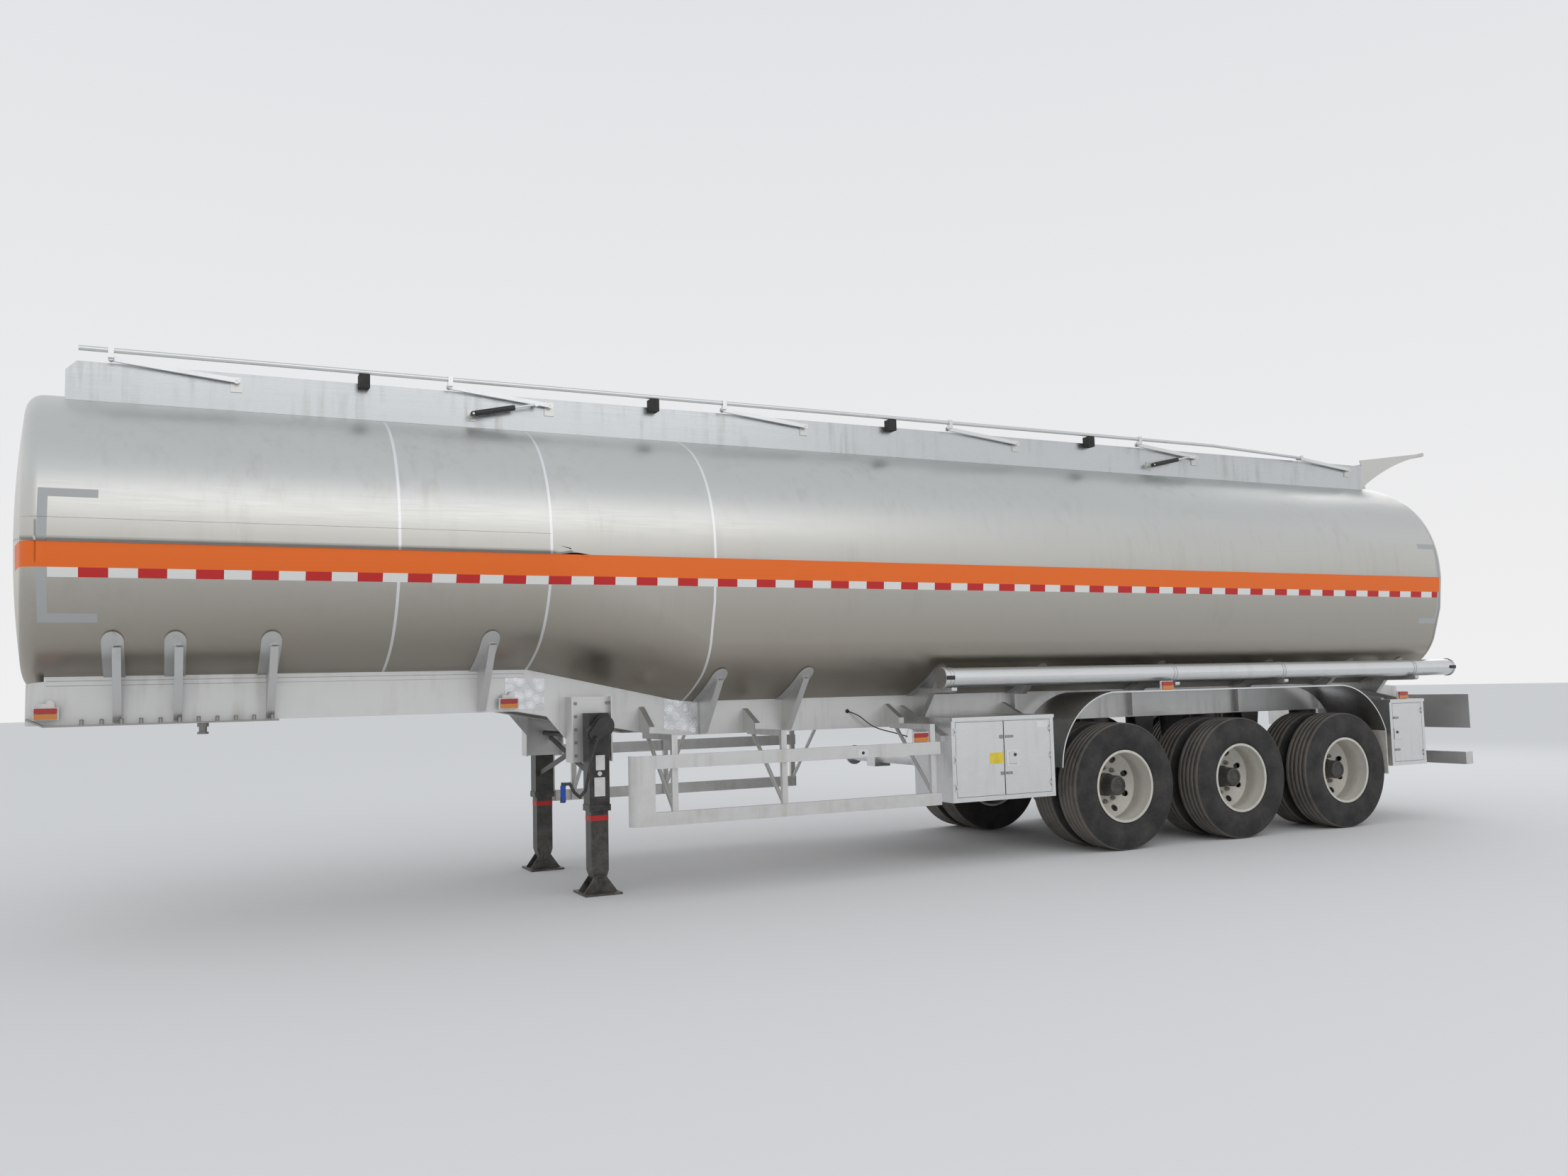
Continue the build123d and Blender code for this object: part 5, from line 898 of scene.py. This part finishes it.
def rubberFinish(name, colour, dust, tread=False):
    # dust in clouds, and a full coat on the tread, where the distance from an axle is nearly the tyre's radius
    made = Finish(name, colour, 0.0, 0.72)
    net = made.net
    cloud = net.noise(made.place, 5.0, 6.0, 0.7)
    fine = net.noise(made.place, 120.0, 3.0)
    mask = net.math("MULTIPLY", net.ramp(cloud, 0.38, 0.72), dust)
    if tread:
        parts = net.node("ShaderNodeSeparateXYZ", {0: made.place}).outputs
        rise = net.math("SUBTRACT", parts[2], tyre["radius"])
        reach = None
        for x in axleX:
            away = net.math("SUBTRACT", parts[0], x)
            length = net.math("SQRT", net.math("ADD", net.math("MULTIPLY", away, away),
                                               net.math("MULTIPLY", rise, rise)))
            reach = length if reach is None else net.math("MINIMUM", reach, length)
        coat = net.ramp(reach, tyre["radius"] - 0.016, tyre["radius"] - 0.003)
        mask = net.math("MAXIMUM", mask, net.math("MULTIPLY", coat, net.ramp(cloud, 0.25, 0.55, 0.35, 0.80)))
    made.set("Base Color", net.mix(mask, colour, (0.20, 0.18, 0.155)))
    made.set("Roughness", net.ramp(fine, 0.3, 0.7, 0.62, 0.85))
    made.set("Normal", net.bump(fine, 0.12, 0.001))
    return made.material


def lensFinish(name, colour):
    # clear plastic with fine ribs moulded inside
    made = Finish(name, colour, 0.0, 0.12, Coat_Weight=0.6, Coat_Roughness=0.05)
    net = made.net
    parts = net.node("ShaderNodeSeparateXYZ", {0: made.place}).outputs
    rib = net.math("PINGPONG", parts[0], 0.004)
    made.set("Base Color", net.mix(net.ramp(rib, 0.0, 0.004), colour, tuple(c * 0.6 for c in colour)))
    made.set("Normal", net.bump(rib, 0.5, 0.6))
    return made.material


def patchFinish():
    # overlapping round swirls left by a hand brush
    made = Finish("swirledPatch", (0.84, 0.85, 0.86), 1.0, 0.22)
    net = made.net
    cell = net.node("ShaderNodeTexVoronoi", {"Vector": made.place, "Scale": 15.0}).outputs["Distance"]
    swirl = net.math("SINE", net.math("MULTIPLY", cell, 24.0))
    made.set("Roughness", net.ramp(swirl, -1.0, 1.0, 0.16, 0.38))
    made.set("Base Color", net.mix(net.ramp(cell, 0.1, 0.7), (0.84, 0.85, 0.86), (0.60, 0.61, 0.62)))
    made.set("Normal", net.bump(swirl, 0.15, 0.001))
    return made.material


def plainPlastic(name, colour, roughness):
    # one colour, darkened and roughened a little in clouds
    made = Finish(name, colour, 0.0, roughness)
    net = made.net
    cloud = net.noise(made.place, 14.0, 5.0, 0.65)
    made.set("Base Color", net.mix(net.ramp(cloud, 0.45, 0.80), colour, tuple(c * 0.72 for c in colour)))
    made.set("Roughness", net.ramp(cloud, 0.3, 0.8, roughness, roughness + 0.2))
    made.set("Normal", net.bump(net.noise(made.place, 300.0, 2.0), 0.06, 0.0006))
    return made.material


axleX = [(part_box("wheels_left_%d" % i)[0].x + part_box("wheels_left_%d" % i)[1].x) / 2 for i in (1, 2, 3)]
weldRings = (4.261, 3.285, 2.105)
cornerMarks = (
    # x0, x1, z0, z1
    (6.180, 6.230, 1.880, 2.635), (5.930, 6.180, 2.585, 2.635), (5.930, 6.180, 1.880, 1.930),
    (-5.595, -5.565, 1.880, 2.655), (-5.565, -5.345, 2.605, 2.655), (-5.565, -5.345, 1.880, 1.930),
)
finishes = {
    "tank_metal": tankFinish(),
    "bright_metal": metalFinish("brightAluminium", (0.76, 0.77, 0.77), 0.30, 0.08, 0.20, 0.20),
    "frame_metal": metalFinish("stainedFrame", (0.70, 0.70, 0.69), 0.40, 0.08, 0.40, 0.35, 0.85),
    "dark_steel": paintFinish("blackPaint", (0.018, 0.018, 0.02), 0.38, 0.45),
    "rim_steel": paintFinish("creamRim", (0.66, 0.64, 0.58), 0.38, 0.30, (0.42, 0.37, 0.29), 0.15, 0.15),
    "coupler_steel": metalFinish("bareSteel", (0.38, 0.37, 0.36), 0.45, 0.10, 0.5, 0.4, 0.9),
    "tyre_rubber": rubberFinish("tyreRubber", (0.016, 0.016, 0.017), 0.22, True),
    "flap_rubber": plainPlastic("paleFlap", (0.62, 0.60, 0.54), 0.55),
    "rest_rubber": rubberFinish("restRubber", (0.018, 0.018, 0.018), 0.15),
    "lamp_white": plainPlastic("lampWhite", (0.78, 0.78, 0.75), 0.35),
    "lens_amber": lensFinish("lensAmber", (0.85, 0.26, 0.02)),
    "lens_red": lensFinish("lensRed", (0.50, 0.010, 0.010)),
}
finishes.update({
    "label_yellow": plainPlastic("yellowLabel", (0.80, 0.62, 0.05), 0.4),
    "patch_metal": patchFinish(),
    "grip_blue": plainPlastic("blueGrip", (0.01, 0.07, 0.42), 0.35),
    "band_red": plainPlastic("redBand", (0.55, 0.02, 0.02), 0.45),
})
slotOf = {s["node"]: s["material_slot"] for s in frame["record"]["subparts"]}
streaked = metalFinish("streakedSheet", (0.60, 0.62, 0.63), 0.30, 0.10, 0.45, 0.10)
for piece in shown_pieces():
    look = piece["look"] if "look" in piece else slotOf[piece.name]
    piece.data.materials.clear()
    piece.data.materials.append(streaked if piece.name.startswith("coaming") else finishes[look])
print("materials made")

# The stage: the photo's camera, a pale floor, a pale sky and soft lamps

view = {
    "place": (5.5356, 9.2629, 1.4057), "focalPixels": 1748.24, "imageWidth": 2212,
    "yaw": math.radians(-26.312), "pitch": math.radians(4.602), "roll": math.radians(-1.402),
}
stage = {"floor": (0.80, 0.80, 0.80), "horizon": (0.87, 0.87, 0.87), "zenith": (0.66, 0.69, 0.73)}


def photoCamera():
    # axes from yaw, pitch and roll: forward, then right and up turned by the roll
    yaw, pitch, roll = view["yaw"], view["pitch"], view["roll"]
    ahead = Vector((math.sin(yaw) * math.cos(pitch), -math.cos(yaw) * math.cos(pitch), math.sin(pitch)))
    right = ahead.cross(Vector((0, 0, 1))).normalized()
    up = right.cross(ahead)
    r2 = math.cos(roll) * right + math.sin(roll) * up
    u2 = -math.sin(roll) * right + math.cos(roll) * up
    camera = bpy.data.cameras.new("photoCamera")
    camera.sensor_width = 36.0
    camera.lens = view["focalPixels"] / view["imageWidth"] * camera.sensor_width
    camera.clip_end = 300
    obj = bpy.data.objects.new("photoCamera", camera)
    obj.matrix_world = Matrix.Translation(view["place"]) @ Matrix((r2, u2, -ahead)).transposed().to_4x4()
    bpy.context.scene.collection.objects.link(obj)
    bpy.context.scene.camera = obj


def paleFloor():
    # one large pale square at the height of the ground
    mesh = bpy.data.meshes.new("floor")
    size = 120.0
    mesh.from_pydata([(-size, -size, 0), (size, -size, 0), (size, size, 0), (-size, size, 0)], [], [(0, 1, 2, 3)])
    floor = bpy.data.objects.new("floor", mesh)
    bpy.context.scene.collection.objects.link(floor)
    mesh.materials.append(Finish("floorPale", stage["floor"], 0.0, 0.9).material)


def softLight():
    # a pale sky, a little darker overhead, and two broad lamps
    world = bpy.data.worlds.new("studio")
    bpy.context.scene.world = world
    world.use_nodes = True
    net = Net(world.node_tree)
    back = world.node_tree.nodes["Background"]
    place = net.node("ShaderNodeTexCoord").outputs["Generated"]
    height = net.node("ShaderNodeSeparateXYZ", {0: place}).outputs[2]
    net.put(back.inputs["Color"], net.mix(net.ramp(height, 0.0, 0.9), stage["horizon"], stage["zenith"]))
    lamps = (
        # name, place, aim, size x, size y, watts
        ("broadLamp", (1.0, 13.0, 10.0), (0.0, 0.0, 1.6), 16.0, 7.0, 260.0),
        ("rearLamp", (-14.0, -6.0, 9.0), (0.0, 0.0, 1.6), 8.0, 6.0, 180.0),
    )
    for name, at, aim, sizeX, sizeY, watts in lamps:
        lamp = bpy.data.lights.new(name, "AREA")
        lamp.shape = "RECTANGLE"
        lamp.size, lamp.size_y, lamp.energy = sizeX, sizeY, watts
        obj = bpy.data.objects.new(name, lamp)
        turn = (Vector(aim) - Vector(at)).to_track_quat("-Z", "Y").to_matrix().to_4x4()
        obj.matrix_world = Matrix.Translation(at) @ turn
        bpy.context.scene.collection.objects.link(obj)


photoCamera()
paleFloor()
softLight()
bpy.context.scene.view_settings.view_transform = "Standard"
print("stage set")
